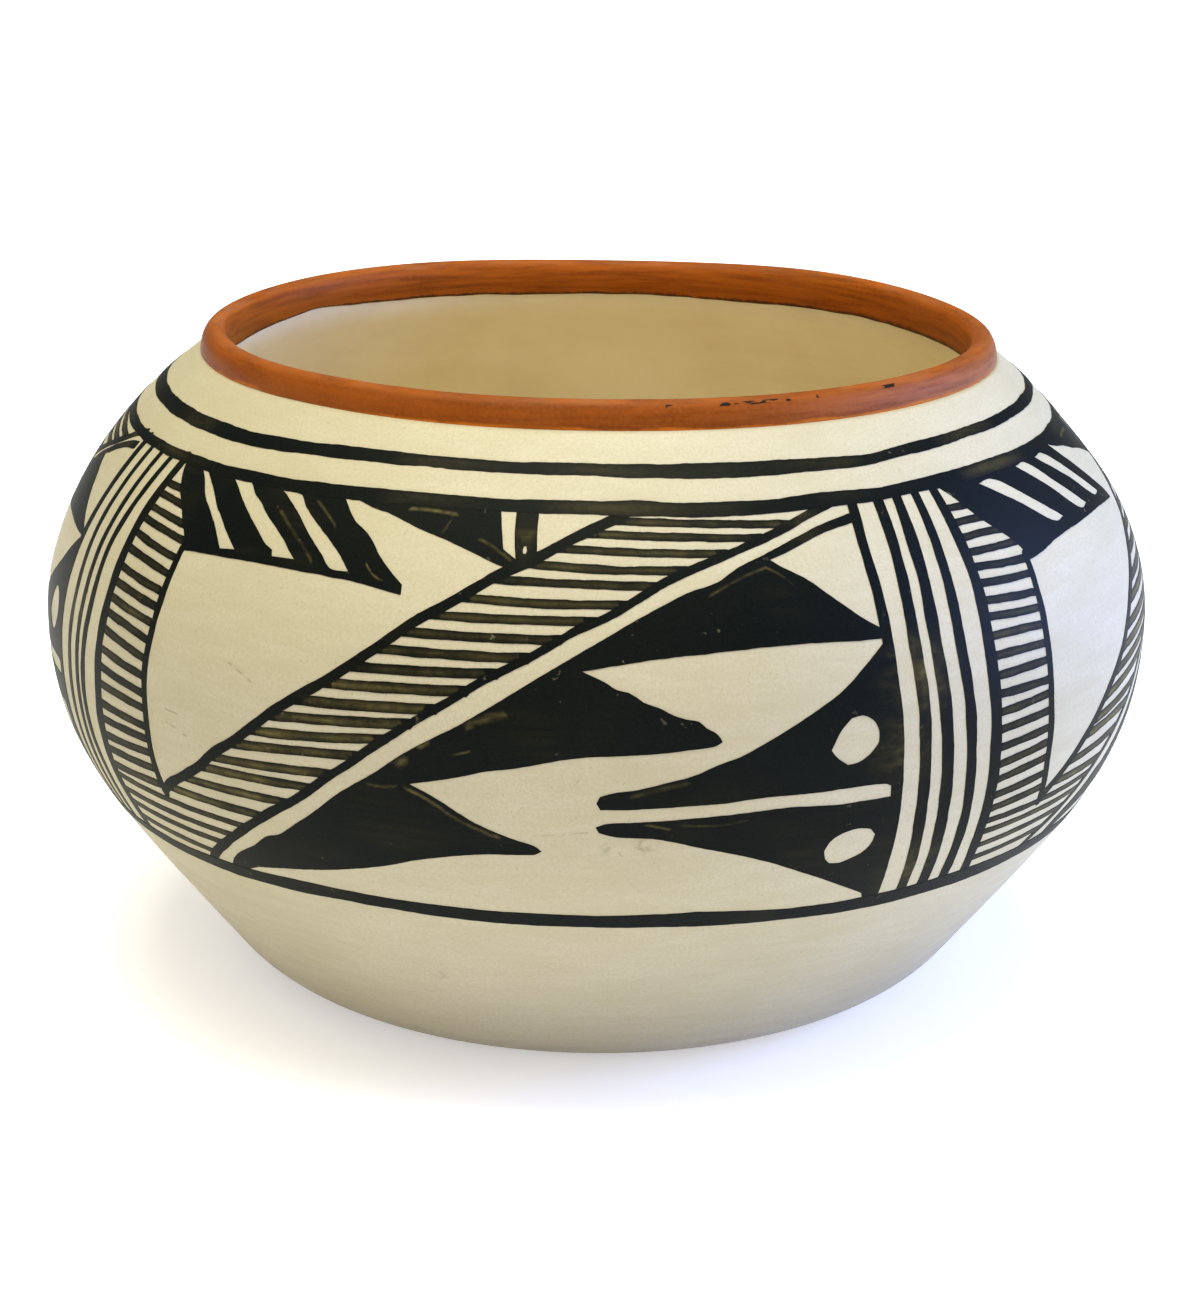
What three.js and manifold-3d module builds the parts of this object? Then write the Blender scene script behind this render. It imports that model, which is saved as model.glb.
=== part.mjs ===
import * as THREE from "three";
import { mergeVertices } from "three/addons/utils/BufferGeometryUtils.js";
import Module from "manifold-3d";

// Pottery bowl, millimetres, +Z up, standing on z = 0 with its axis on Z.
// The front faces -Y. Angles run from the front towards +X, in degrees.

// Outside curve of the finished bowl.
const footRadius = 51.4;
const heelRadius = 25;
const heelTurn = 52;
const bellyRadius = 102;
const bellyHeight = 70.4;
const neckRadius = 71.7;
const neckHeight = 117;
const neckSlope = 34;
const lowerWallHandle = 35.6;
const bellyHandleBelow = 22.8;
const bellyHandleAbove = 19.7;
const neckHandle = 16.2;

// Clay walls, built up from a pressed slab with flattened coils.
const wallThickness = 5;
const floorThickness = 6;
const coilCount = 9;
const rimCoilDepth = 5;

// Lip, standing nearly upright on the shoulder.
const lipFootDrop = 0.7;
const lipRise = 4.4;
const lipThickness = 4.6;
const lipFlare = 0.3;
const rimSlipInside = 7;

// Coats of slip and paint, and the small gap between one coat and the next.
const slipThickness = 0.4;
const paintThickness = 0.3;
const coatGap = 0.2;
const slipAboveFoot = 0.8;

// Painted lines round the bowl.
const neckLineDrop = 6;
const neckLineWidth = 1.6;
const topLineDrop = 10.8;
const topLineWidth = 1.7;
const bottomLineHeight = 40.1;
const bottomLineWidth = 2.7;

// Four painted panels: widths in degrees, the last one takes what is left.
const frontPanelStart = -55.5;
const frontPanelWidth = 95.8;
const rightPanelWidth = 96;
const backPanelWidth = 84;

// Brush strokes inside a panel.
const borderWidth = 2.3;
const stripeWidth = 2.3;
const hatchPitch = 2.65;
const hatchWidth = 1.2;
const figureLineWidth = 1.7;

// The figures are drawn on a sheet this wide and this high, then fitted to each panel.
const sheetDegrees = 95.8;
const sheetRise = 66.1;

const roundSegments = 40;
const lipArcSteps = 4;

const wasm = await Module();
wasm.setup();

const slipPaint = { color: 0xd3c8aa, roughness: 0.55, metalness: 0 };
const rimPaint = { color: 0x9c5123, roughness: 0.5, metalness: 0 };
const blackPaint = { color: 0x17181a, roughness: 0.7, metalness: 0 };
const bareClay = { color: 0xb3a274, roughness: 0.75, metalness: 0 };

function radians(degrees) {
  return (degrees * Math.PI) / 180;
}

// The smooth outside curve, from the edge of the foot up to the neck.
function outsideCurve() {
  const turn = radians(heelTurn);
  const slope = radians(neckSlope);
  const points = [];
  for (let i = 0; i < 40; i += 1) {
    const a = (turn * i) / 40;
    points.push(
      new THREE.Vector2(
        footRadius + heelRadius * Math.sin(a),
        heelRadius * (1 - Math.cos(a)),
      ),
    );
  }
  const heelEnd = new THREE.Vector2(
    footRadius + heelRadius * Math.sin(turn),
    heelRadius * (1 - Math.cos(turn)),
  );
  const belly = new THREE.Vector2(bellyRadius, bellyHeight);
  const neck = new THREE.Vector2(neckRadius, neckHeight);
  const lower = new THREE.CubicBezierCurve(
    heelEnd,
    new THREE.Vector2(
      heelEnd.x + lowerWallHandle * Math.cos(turn),
      heelEnd.y + lowerWallHandle * Math.sin(turn),
    ),
    new THREE.Vector2(bellyRadius, bellyHeight - bellyHandleBelow),
    belly,
  );
  const upper = new THREE.CubicBezierCurve(
    belly,
    new THREE.Vector2(bellyRadius, bellyHeight + bellyHandleAbove),
    new THREE.Vector2(
      neckRadius + neckHandle * Math.cos(slope),
      neckHeight - neckHandle * Math.sin(slope),
    ),
    neck,
  );
  points.push(...lower.getPoints(120).slice(0, -1));
  points.push(...upper.getPoints(120));
  return points;
}

// The same curve moved along its normals, outwards for a positive distance.
function movedCurve(distance) {
  const curve = outsideCurve();
  return curve.map((point, i) => {
    const before = curve[Math.max(i - 1, 0)];
    const after = curve[Math.min(i + 1, curve.length - 1)];
    const along = after.clone().sub(before).normalize();
    return new THREE.Vector2(
      point.x + along.y * distance,
      point.y - along.x * distance,
    );
  });
}

// Radius of a moved curve at one height.
function radiusAt(curve, z) {
  if (z <= curve[0].y) return curve[0].x;
  for (let i = 1; i < curve.length; i += 1) {
    const a = curve[i - 1];
    const b = curve[i];
    if (z <= b.y) return a.x + ((b.x - a.x) * (z - a.y)) / (b.y - a.y);
  }
  return curve[curve.length - 1].x;
}

const clayCurve = movedCurve(-slipThickness - coatGap);
const slipInner = movedCurve(-slipThickness);
const slipOuter = movedCurve(0);
const paintInner = movedCurve(coatGap);
const paintOuter = movedCurve(coatGap + paintThickness);
const cavityCurve = movedCurve(-slipThickness - coatGap - wallThickness);

const rimCoilFoot = neckHeight - rimCoilDepth;
const lipFoot = neckHeight - lipFootDrop;
const lipRadius = radiusAt(slipOuter, lipFoot);
const lipTop = lipFoot + lipRise;
const neckLineHeight = neckHeight - neckLineDrop;
const topLineHeight = neckHeight - topLineDrop;

// Heights of the level joints between coils.
const coilRise = (rimCoilFoot - floorThickness) / coilCount;
const jointHeights = [];
for (let i = 0; i <= coilCount; i += 1) {
  jointHeights.push(floorThickness + coilRise * i);
}

// Heights of the facet edges, the same for the clay and for every coat on it.
const heelMiddle = (slipAboveFoot + floorThickness) * 0.4;
const ringHeights = [0, slipAboveFoot, heelMiddle, ...jointHeights];

// Facet edges strictly between two heights, with both ends added.
function heightsBetween(low, high) {
  const margin = 0.6;
  const inside = ringHeights.filter((z) => z > low + margin && z < high - margin);
  return [low, ...inside, high];
}

// The painted figures fill the band between the bottom line and the top line.
const filmFoot = bottomLineHeight + bottomLineWidth / 2;
const filmHead = topLineHeight - topLineWidth / 2;
const filmHeights = heightsBetween(filmFoot, filmHead);

// A closed profile of radius and height pairs, turned round the axis.
function revolve(profile) {
  const points = profile.map(([r, z]) => new THREE.Vector2(r, z));
  const geometry = new THREE.LatheGeometry(points, roundSegments);
  geometry.rotateX(Math.PI / 2);
  return geometry;
}

// A ring-shaped coat between an inner and an outer curve.
function coatRing(inner, outer, low, high) {
  const heights = heightsBetween(low, high);
  const profile = heights.map((z) => [radiusAt(outer, z), z]);
  heights
    .slice()
    .reverse()
    .forEach((z) => profile.push([radiusAt(inner, z), z]));
  profile.push(profile[0]);
  return revolve(profile);
}

function toSolid(geometry) {
  const bare = geometry.clone();
  bare.deleteAttribute("normal");
  bare.deleteAttribute("uv");
  const merged = mergeVertices(bare, 1e-4);
  return new wasm.Manifold(
    new wasm.Mesh({
      numProp: 3,
      vertProperties: merged.attributes.position.array,
      triVerts: new Uint32Array(merged.index.array),
    }),
  );
}

function piece(name, geometry, look) {
  const mesh = new THREE.Mesh(geometry, new THREE.MeshStandardMaterial(look));
  mesh.name = name;
  return mesh;
}

// Pressed slab that carries the coils: flat below, flat above.
function baseSlab() {
  const edge = heightsBetween(0, floorThickness).map((z) => [radiusAt(clayCurve, z), z]);
  return revolve([[0, 0], ...edge, [0, floorThickness]]);
}

// One flattened coil of the wall, between two level joints.
function wallCoil(low, high) {
  return coatRing(cavityCurve, clayCurve, low, high);
}

// Section of the lip from its outer foot over the crest, shrunk by an inset.
function lipSection(inset) {
  const outer = lipRadius - inset;
  const inner = lipRadius - lipThickness + inset;
  const middle = (outer + inner) / 2;
  const half = (outer - inner) / 2;
  const shoulder = lipTop - inset - half;
  const section = [];
  for (let i = 0; i <= lipArcSteps; i += 1) {
    const a = (Math.PI * i) / lipArcSteps;
    section.push([
      middle + half * Math.cos(a) - lipFlare * Math.sin(a),
      shoulder + half * Math.sin(a),
    ]);
  }
  return section;
}

// Top coil, pinched up into the rounded lip.
function rimCoil() {
  const inset = slipThickness + coatGap;
  const face = lipRadius - inset;
  const corner = clayCurve.find((point) => point.y > bellyHeight && point.x <= face);
  const cornerHeight = corner ? corner.y : neckHeight;
  const profile = [
    [radiusAt(clayCurve, rimCoilFoot), rimCoilFoot],
    [radiusAt(clayCurve, cornerHeight), cornerHeight],
    ...lipSection(inset),
    [radiusAt(cavityCurve, rimCoilFoot), rimCoilFoot],
  ];
  profile.push(profile[0]);
  return revolve(profile);
}

// Orange slip over the lip: down to the neck outside, a little further inside.
function rimSlip() {
  const low = lipTop - rimSlipInside;
  const innerFoot = rimInnerRadius(low);
  const profile = [
    [lipRadius, lipFoot],
    ...lipSection(0),
    [innerFoot, low],
    [innerFoot + slipThickness, low],
    ...lipSection(slipThickness).reverse(),
    [lipRadius - slipThickness, lipFoot],
  ];
  profile.push(profile[0]);
  return revolve(profile);
}

// Face of the orange slip inside the mouth, one gap clear of the clay behind it.
function rimInnerRadius(z) {
  const section = lipSection(slipThickness + coatGap);
  const [topRadius, topHeight] = section[section.length - 1];
  const coilRadius = radiusAt(cavityCurve, rimCoilFoot);
  const share = (topHeight - z) / (topHeight - rimCoilFoot);
  const clay = topRadius + (coilRadius - topRadius) * share;
  return clay - coatGap - slipThickness;
}

// A flat piece of paint: x in degrees, y in height, one unit thick.
function flatPaint(outline) {
  const shape = new THREE.Shape(outline.map(([x, y]) => new THREE.Vector2(x, y)));
  const geometry = new THREE.ExtrudeGeometry(shape, {
    depth: 1,
    bevelEnabled: false,
  });
  return toSolid(geometry);
}

// A flat block that holds everything between two angles and two heights.
function flatBlock(fromAngle, toAngle, fromHeight, toHeight) {
  const width = toAngle - fromAngle;
  const rise = toHeight - fromHeight;
  const geometry = new THREE.BoxGeometry(width, rise, 3);
  geometry.translate(fromAngle + width / 2, fromHeight + rise / 2, 0.5);
  return toSolid(geometry);
}

// Collects flat corners, joining those that lie within a hair of each other.
function cornerPool() {
  const hair = 0.002;
  const buckets = new Map();
  const points = [];
  const add = (point) => {
    const cell = point.map((value) => Math.floor(value / (hair * 2)));
    for (let n = 0; n < 27; n += 1) {
      const offset = [n % 3, Math.floor(n / 3) % 3, Math.floor(n / 9)];
      const near = cell.map((value, i) => value + offset[i] - 1).join();
      const found = (buckets.get(near) || []).find((p) =>
        points[p].every((value, i) => Math.abs(value - point[i]) < hair),
      );
      if (found !== undefined) return found;
    }
    const key = cell.join();
    buckets.set(key, [...(buckets.get(key) || []), points.length]);
    return points.push(point) - 1;
  };
  return { points, add };
}

// Splits triangles at corners that a neighbour across a seam has on their edges.
function matchSeams(points, triangles, seams) {
  const onSeam = seams.map(([axis, value]) => {
    const close = (p) => Math.abs(points[p][axis] - value) < 1e-4;
    return new Set(points.keys().filter(close));
  });
  const between = (p, q) => {
    const seam = onSeam.findIndex((set) => set.has(p) && set.has(q));
    if (seam < 0 || points[p][2] !== points[q][2]) return undefined;
    const along = 1 - seams[seam][0];
    return [...onSeam[seam]].find((m) => {
      const before = points[m][along] - points[p][along];
      const after = points[q][along] - points[m][along];
      return points[m][2] === points[p][2] && before * after > 0;
    });
  };
  const waiting = [...triangles];
  const done = [];
  while (waiting.length) {
    const triangle = waiting.pop();
    const split = [0, 1, 2].some((i) => {
      const [p, q, opposite] = [0, 1, 2].map((n) => triangle[(i + n) % 3]);
      const m = between(p, q);
      if (m !== undefined) waiting.push([p, m, opposite], [m, q, opposite]);
      return m !== undefined;
    });
    if (!split) done.push(triangle);
  }
  return done;
}

// Moves a facet edge up until no corner of the paint lies right beside it.
function clearOf(value, taken) {
  const nearest = 0.03;
  let moved = value;
  while (taken.some((other) => Math.abs(other - moved) < nearest)) moved += nearest;
  return moved;
}

// Corners of a flat piece of paint: angle, height and layer.
function cornersOf(flat) {
  const mesh = flat.getMesh();
  const corners = [];
  for (let v = 0; v < mesh.numVert; v += 1) {
    const start = v * mesh.numProp;
    corners.push([...mesh.vertProperties.slice(start, start + 3)]);
  }
  return corners;
}

// Facet edges under one flat piece of paint: angles across and heights up.
function facetGrid(flat) {
  const corners = cornersOf(flat);
  const angles = corners.map((corner) => corner[0]);
  const heights = corners.map((corner) => corner[1]);
  const step = 360 / roundSegments;
  const first = Math.floor(Math.min(...angles) / step - 0.1);
  const last = Math.ceil(Math.max(...angles) / step + 0.1);
  const columns = [];
  for (let i = first; i <= last; i += 1) columns.push(clearOf(i * step, angles));
  const inside = filmHeights.slice(1, -1).map((z) => clearOf(z, heights));
  return { columns, rows: [filmFoot, ...inside, filmHead] };
}

// Which pair of neighbouring edges holds a value.
function interval(edges, value) {
  const next = edges.findIndex((edge, i) => i > 0 && value <= edge);
  return next < 0 ? edges.length - 2 : next - 1;
}

// Radius of the facet that holds one place, on the inner or the outer face.
function filmRadius(grid, [angle, z, layer]) {
  const curve = layer > 0.5 ? paintOuter : paintInner;
  const row = interval(grid.rows, z);
  const low = grid.rows[row];
  const high = grid.rows[row + 1];
  const share = (z - low) / (high - low);
  const column = interval(grid.columns, angle);
  const half = (grid.columns[column + 1] - grid.columns[column]) / 2;
  const middle = grid.columns[column] + half;
  const facet = Math.cos(radians(half)) / Math.cos(radians(angle - middle));
  return (radiusAt(curve, low) * (1 - share) + radiusAt(curve, high) * share) * facet;
}

// Bends a flat piece of paint onto the facets of the bowl, one facet at a time.
function bendOntoBowl(flat) {
  const grid = facetGrid(flat);
  const pool = cornerPool();
  const triangles = [];
  const lies = (face, axis, value) =>
    face.every((corner) => Math.abs(pool.points[corner][axis] - value) < 1e-3);
  const seams = [
    ...grid.columns.map((angle) => [0, angle]),
    ...grid.rows.slice(1, -1).map((z) => [1, z]),
  ];
  for (let i = 0; i + 1 < grid.columns.length; i += 1) {
    const [left, right] = grid.columns.slice(i, i + 2);
    const strip = flat.intersect(flatBlock(left, right, filmFoot - 1, filmHead + 1));
    for (let j = 0; j + 1 < grid.rows.length; j += 1) {
      const [low, high] = grid.rows.slice(j, j + 2);
      const facet = strip.intersect(flatBlock(left, right, low, high));
      const ids = cornersOf(facet).map(pool.add);
      const { triVerts, numTri } = facet.getMesh();
      for (let t = 0; t < numTri; t += 1) {
        const face = [...triVerts.slice(t * 3, t * 3 + 3)].map((v) => ids[v]);
        const inSeam = seams.some(([axis, value]) => lies(face, axis, value));
        if (!inSeam && new Set(face).size === 3) triangles.push(face);
      }
    }
  }
  const positions = [];
  pool.points.forEach((point) => {
    const r = filmRadius(grid, point);
    const a = radians(point[0]);
    positions.push(r * Math.sin(a), -r * Math.cos(a), point[1]);
  });
  const geometry = new THREE.BufferGeometry();
  geometry.setAttribute("position", new THREE.Float32BufferAttribute(positions, 3));
  geometry.setIndex(matchSeams(pool.points, triangles, seams).flat());
  geometry.computeVertexNormals();
  return geometry;
}

// Height of a drawn line at one place across, or its place across at one height.
function follow(line, value, from, to) {
  for (let i = 1; i < line.length; i += 1) {
    const a = line[i - 1];
    const b = line[i];
    const inside = (value - a[from]) * (value - b[from]) <= 0;
    if (inside) {
      const share = (value - a[from]) / (b[from] - a[from] || 1);
      return a[to] + (b[to] - a[to]) * share;
    }
  }
  return null;
}

// One panel: turns places on the sheet into angles and heights on the bowl.
function panelSheet(start, width) {
  const rise = topLineHeight - bottomLineHeight;
  const degreesPerMm = sheetDegrees / (radians(sheetDegrees) * bellyRadius);
  const place = ([u, h]) => [
    start + (u * width) / sheetDegrees,
    bottomLineHeight + (h * rise) / sheetRise,
  ];
  const shape = (outline) => flatPaint(outline.map(place));
  // A brush line along drawn points, with square ends.
  const stroke = (line, lineWidth) => {
    const left = [];
    const right = [];
    line.forEach((point, i) => {
      const before = line[Math.max(i - 1, 0)];
      const after = line[Math.min(i + 1, line.length - 1)];
      const du = (after[0] - before[0]) / degreesPerMm;
      const dh = after[1] - before[1];
      const length = Math.hypot(du, dh);
      const half = lineWidth / 2;
      const across = (-dh / length) * half * degreesPerMm;
      const up = (du / length) * half;
      left.push([point[0] + across, point[1] + up]);
      right.push([point[0] - across, point[1] - up]);
    });
    return shape([...left, ...right.reverse()]);
  };
  return { shape, stroke, rise };
}

// Drawn lines and outlines, as places across and heights on the sheet.
const borderLine = [[0, 66.5], [-0.2, 45], [-0.4, 25], [0.2, -0.5]];
const stripLine = [[9, 54.5], [8.3, 40], [8.2, 28], [8.5, 18], [8.9, 12]];
const upperDiagonal = [
  [8.6, 12.4],
  [12.5, 16.8],
  [17.2, 22.4],
  [22.5, 29.1],
  [27.8, 36.2],
  [33.8, 43.5],
  [40.5, 51.5],
  [45.5, 56.3],
  [50.5, 59.8],
  [55.5, 63.5],
  [59.5, 66.5],
];
const lowerDiagonal = [
  [12.1, -0.5],
  [17.2, 6.8],
  [21.2, 11.5],
  [27.2, 18.8],
  [33.8, 27.4],
  [40.5, 35.8],
  [45.5, 41.9],
  [50.5, 46.4],
  [55.5, 50.9],
  [60.5, 55],
  [65.5, 58.6],
  [70.5, 61],
  [75.5, 63.2],
  [82, 66.5],
];
const hangingWedge = [
  [29.5, 66.5],
  [33.2, 63.9],
  [39.5, 61.4],
  [45.2, 58.6],
  [46.5, 57.6],
  [47.6, 58.6],
  [46, 60.9],
  [45.3, 66.5],
];
const tieStroke = [[46.8, 66.5], [47.8, 58.8], [49.9, 59.8], [49, 66.5]];
const cornerOutline = [
  [1.2, 66.5],
  [2.3, 63.3],
  [5.7, 59.3],
  [8.8, 54.7],
  [9, 53.5],
  [15.5, 54],
  [23.8, 54.6],
  [30.5, 54.3],
  [36.5, 53.2],
  [36.3, 54.7],
  [33.8, 57.8],
  [29.2, 62.8],
  [27.2, 66.5],
];
const cornerSlits = [
  [[5.4, 64.9], [6.8, 64.7], [10.5, 60.6], [16.3, 55.7], [14.4, 55.4], [10.4, 59.3]],
  [[11, 66.5], [14, 66.5], [18.8, 61.1], [24.3, 56], [21.3, 56], [15.5, 61.7]],
  [[18.5, 66.5], [21.8, 66.5], [28.8, 58.1], [30.5, 55.6], [28.5, 55.6], [22.2, 62.8]],
];
const serrationOutline = [
  [15, -0.5],
  [20.5, 7.2],
  [26.2, 13.3],
  [31.2, 19.7],
  [35.5, 25.6],
  [40.8, 32.2],
  [47.2, 39.2],
  [52.8, 45.3],
  [58.8, 50.8],
  [64.5, 55],
  [71.8, 59.2],
  [77.2, 62],
  [82.9, 63.9],
  [82.9, 62.8],
  [77.2, 60.8],
  [72.9, 58.9],
  [77.8, 53.9],
  [82.9, 47.5],
  [82.9, 46.1],
  [73.8, 46.8],
  [60.5, 45.5],
  [54.2, 43.9],
  [59.5, 40.1],
  [65.5, 35],
  [66.8, 33.1],
  [63.8, 31.7],
  [52.2, 30],
  [44.8, 27],
  [38.7, 24.5],
  [43.8, 19.2],
  [50.8, 14.3],
  [45.5, 13.1],
  [35.5, 8.6],
  [25.5, 4.7],
  [18.7, -0.5],
];
const leavesOutline = [
  [83, 66.5],
  [83, 45],
  [79.8, 40.8],
  [74.5, 35],
  [68.8, 30],
  [61.5, 26],
  [56, 24.2],
  [55.7, 23.3],
  [56.8, 21.8],
  [67.2, 22.6],
  [79.8, 23.2],
  [83.3, 22.5],
  [83.3, 20.3],
  [73.2, 21],
  [62.2, 20.2],
  [55.7, 18.9],
  [57.3, 17.3],
  [63.2, 16],
  [70.2, 12.3],
  [77.2, 7],
  [84.5, -0.5],
  [85.9, -0.5],
  [85.2, 9.9],
  [84.8, 19.9],
  [84.3, 34.9],
  [84.2, 49.9],
  [84.7, 66.5],
];
const leafDots = [
  [[77, 30], [78, 33.1], [79.7, 35.1], [81.4, 33.6], [81.8, 30.6], [80.4, 27.9], [78.7, 27.2]],
  [[77.3, 11.6], [77.8, 13.9], [79.5, 15.3], [81.7, 15.3], [82.4, 13.6], [81.5, 10.9], [79.2, 9.3]],
];
const columnStripes = [
  [[87.3, 66.5], [86.5, 45], [86.9, 30], [88.4, -0.5]],
  [[89.9, 66.5], [89, 45], [89.6, 30], [91.1, -0.5]],
  [[92.6, 66.5], [91.8, 45], [92.3, 30], [93.9, -0.5]],
];

// Hatching strokes: the upright strip at the left, then the slanting band.
function hatchStrokes(sheet) {
  const strokes = [];
  const count = Math.floor((sheet.rise - hatchPitch) / hatchPitch);
  const lowestStrip = stripLine[stripLine.length - 1][1];
  for (let i = 1; i <= count; i += 1) {
    const h = (i * hatchPitch * sheetRise) / sheet.rise;
    const low = follow(lowerDiagonal, h, 1, 0);
    const high = follow(upperDiagonal, h, 1, 0);
    if (h < lowestStrip) {
      strokes.push([[0, h], [low, h]]);
    } else {
      const strip = follow(stripLine, Math.min(h, stripLine[0][1]), 1, 0);
      strokes.push([[0, h], [strip, h]]);
      strokes.push([[high, h], [low, h]]);
    }
  }
  return strokes;
}

// All painted pieces of one panel.
function paintPanel(prefix, start, width) {
  const sheet = panelSheet(start, width);
  const band = flatBlock(start - width, start + 2 * width, filmFoot, filmHead);
  const figure = sheet.stroke(borderLine, borderWidth)
    .add(sheet.shape(cornerOutline))
    .add(sheet.stroke(stripLine, figureLineWidth))
    .add(sheet.stroke(upperDiagonal, figureLineWidth))
    .add(sheet.stroke(lowerDiagonal, figureLineWidth))
    .add(sheet.shape(hangingWedge))
    .add(sheet.shape(tieStroke));
  const hatching = hatchStrokes(sheet).reduce(
    (sum, line) => sum.add(sheet.stroke(line, hatchWidth)),
    figure,
  );
  const slits = cornerSlits.map(sheet.shape).reduce((sum, slit) => sum.add(slit));
  const dots = leafDots.map(sheet.shape).reduce((sum, dot) => sum.add(dot));
  const drawn = {
    hatching: hatching.subtract(slits),
    serration: sheet.shape(serrationOutline),
    leaves: sheet.shape(leavesOutline).subtract(dots),
  };
  columnStripes.forEach((line, i) => {
    drawn["stripe_" + (i + 1)] = sheet.stroke(line, stripeWidth);
  });
  const panel = new THREE.Group();
  Object.entries(drawn).forEach(([name, flat]) => {
    const bent = bendOntoBowl(flat.intersect(band));
    panel.add(piece(prefix + "_" + name, bent, blackPaint));
  });
  return panel;
}

// A painted line right round the bowl, centred on one height.
function ringLine(height, width) {
  return coatRing(paintInner, paintOuter, height - width / 2, height + width / 2);
}

const clay = new THREE.Group();
clay.add(piece("base_slab", baseSlab(), bareClay));
for (let i = 0; i < coilCount; i += 1) {
  const coil = wallCoil(jointHeights[i], jointHeights[i + 1]);
  clay.add(piece("wall_coil_" + (i + 1), coil, bareClay));
}
clay.add(piece("rim_coil", rimCoil(), bareClay));

const slips = new THREE.Group();
const creamSlip = coatRing(slipInner, slipOuter, slipAboveFoot, lipFoot - coatGap);
slips.add(piece("cream_slip", creamSlip, slipPaint));
slips.add(piece("rim_slip", rimSlip(), rimPaint));

const paint = new THREE.Group();
paint.add(piece("neck_line", ringLine(neckLineHeight, neckLineWidth), blackPaint));
paint.add(piece("band_top_line", ringLine(topLineHeight, topLineWidth), blackPaint));
paint.add(
  piece("band_bottom_line", ringLine(bottomLineHeight, bottomLineWidth), blackPaint),
);

const rightStart = frontPanelStart + frontPanelWidth;
const backStart = rightStart + rightPanelWidth;
const leftStart = backStart + backPanelWidth;
const leftPanelWidth = frontPanelStart + 360 - leftStart;
paint.add(paintPanel("front", frontPanelStart, frontPanelWidth));
paint.add(paintPanel("right", rightStart, rightPanelWidth));
paint.add(paintPanel("back", backStart, backPanelWidth));
paint.add(paintPanel("left", leftStart, leftPanelWidth));

const bowl = new THREE.Group();
bowl.add(clay, slips, paint);

export default bowl;
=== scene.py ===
import bisect
import math

import bpy
from mathutils import Matrix, Vector, noise
from mathutils.geometry import delaunay_2d_cdt, interpolate_bezier
from mathutils.kdtree import KDTree


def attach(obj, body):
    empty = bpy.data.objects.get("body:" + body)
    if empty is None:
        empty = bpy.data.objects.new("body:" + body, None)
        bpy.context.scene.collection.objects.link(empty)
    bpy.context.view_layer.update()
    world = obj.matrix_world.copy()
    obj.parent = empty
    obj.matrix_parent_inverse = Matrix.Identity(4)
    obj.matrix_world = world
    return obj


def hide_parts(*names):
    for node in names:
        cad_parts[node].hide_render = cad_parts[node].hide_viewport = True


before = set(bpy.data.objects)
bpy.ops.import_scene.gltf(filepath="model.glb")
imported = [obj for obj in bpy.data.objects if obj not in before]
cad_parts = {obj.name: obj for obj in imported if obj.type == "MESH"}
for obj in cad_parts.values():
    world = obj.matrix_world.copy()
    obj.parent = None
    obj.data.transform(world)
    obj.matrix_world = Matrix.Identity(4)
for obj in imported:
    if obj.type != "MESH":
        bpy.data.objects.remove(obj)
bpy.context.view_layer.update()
mm = 0.001
noise.seed_set(7)  # without a seed, noise vectors differ from run to run
mergeGap = 0.01 * mm  # corners closer than this are made one
print("frame loaded:", len(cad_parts), "nodes")


# camera, as the bowl is seen in the photograph

camera = {
    "lens": 79.6,  # mm
    "sensor": 36,  # mm
    "nearest": 0.01,
    "place": (0.0, -0.5245, 0.2162),
    "down": 16.858,  # degrees below level
    "turn": 0.09,  # degrees to the right
    "roll": 0.72,  # degrees anticlockwise
}


def turned(degrees, axis):
    return Matrix.Rotation(math.radians(degrees), 4, axis)


def addCamera():
    bpy.ops.object.camera_add(location=camera["place"])
    eye = bpy.context.object
    eye.name = "camera"
    eye.matrix_world = (
        Matrix.Translation(camera["place"])
        @ turned(-camera["turn"], "Z") @ turned(90 - camera["down"], "X") @ turned(camera["roll"], "Z")
    )
    eye.data.lens = camera["lens"]
    eye.data.sensor_width = camera["sensor"]
    eye.data.clip_start = camera["nearest"]
    bpy.context.scene.camera = eye


addCamera()
print("camera ready")


# small helpers for operators

def selectOnly(item):
    bpy.ops.object.select_all(action="DESELECT")
    item.select_set(True)
    bpy.context.view_layer.objects.active = item


def editAll(item):
    selectOnly(item)
    bpy.ops.object.mode_set(mode="EDIT")
    bpy.ops.mesh.select_mode(type="VERT")
    bpy.ops.mesh.select_all(action="SELECT")


def thicken(item, thickness):
    modifier = item.modifiers.new("Solidify", "SOLIDIFY")
    modifier.thickness = thickness
    modifier.offset = -1
    selectOnly(item)
    bpy.ops.object.modifier_apply(modifier=modifier.name)


def finishPiece(item, nodes, look):
    item.data.materials.clear()
    item.data.materials.append(look)
    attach(item, "root")
    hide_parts(*nodes)


def clamped(value):
    return min(max(value, 0), 1)


# outside curve of the bowl

bowlShape = {
    "footRadius": 51.4 * mm,
    "heelRadius": 25 * mm,
    "heelTurn": 52,  # degrees
    "bellyRadius": 102 * mm,
    "bellyHeight": 70.4 * mm,
    "neckRadius": 71.7 * mm,
    "neckHeight": 117 * mm,
    "neckSlope": 34,  # degrees
    "lowerWallHandle": 35.6 * mm,
    "bellyHandleBelow": 22.8 * mm,
    "bellyHandleAbove": 19.7 * mm,
    "neckHandle": 16.2 * mm,
    "samples": 90,  # points in each span of the curve
    "spinSteps": 256,
}


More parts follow.
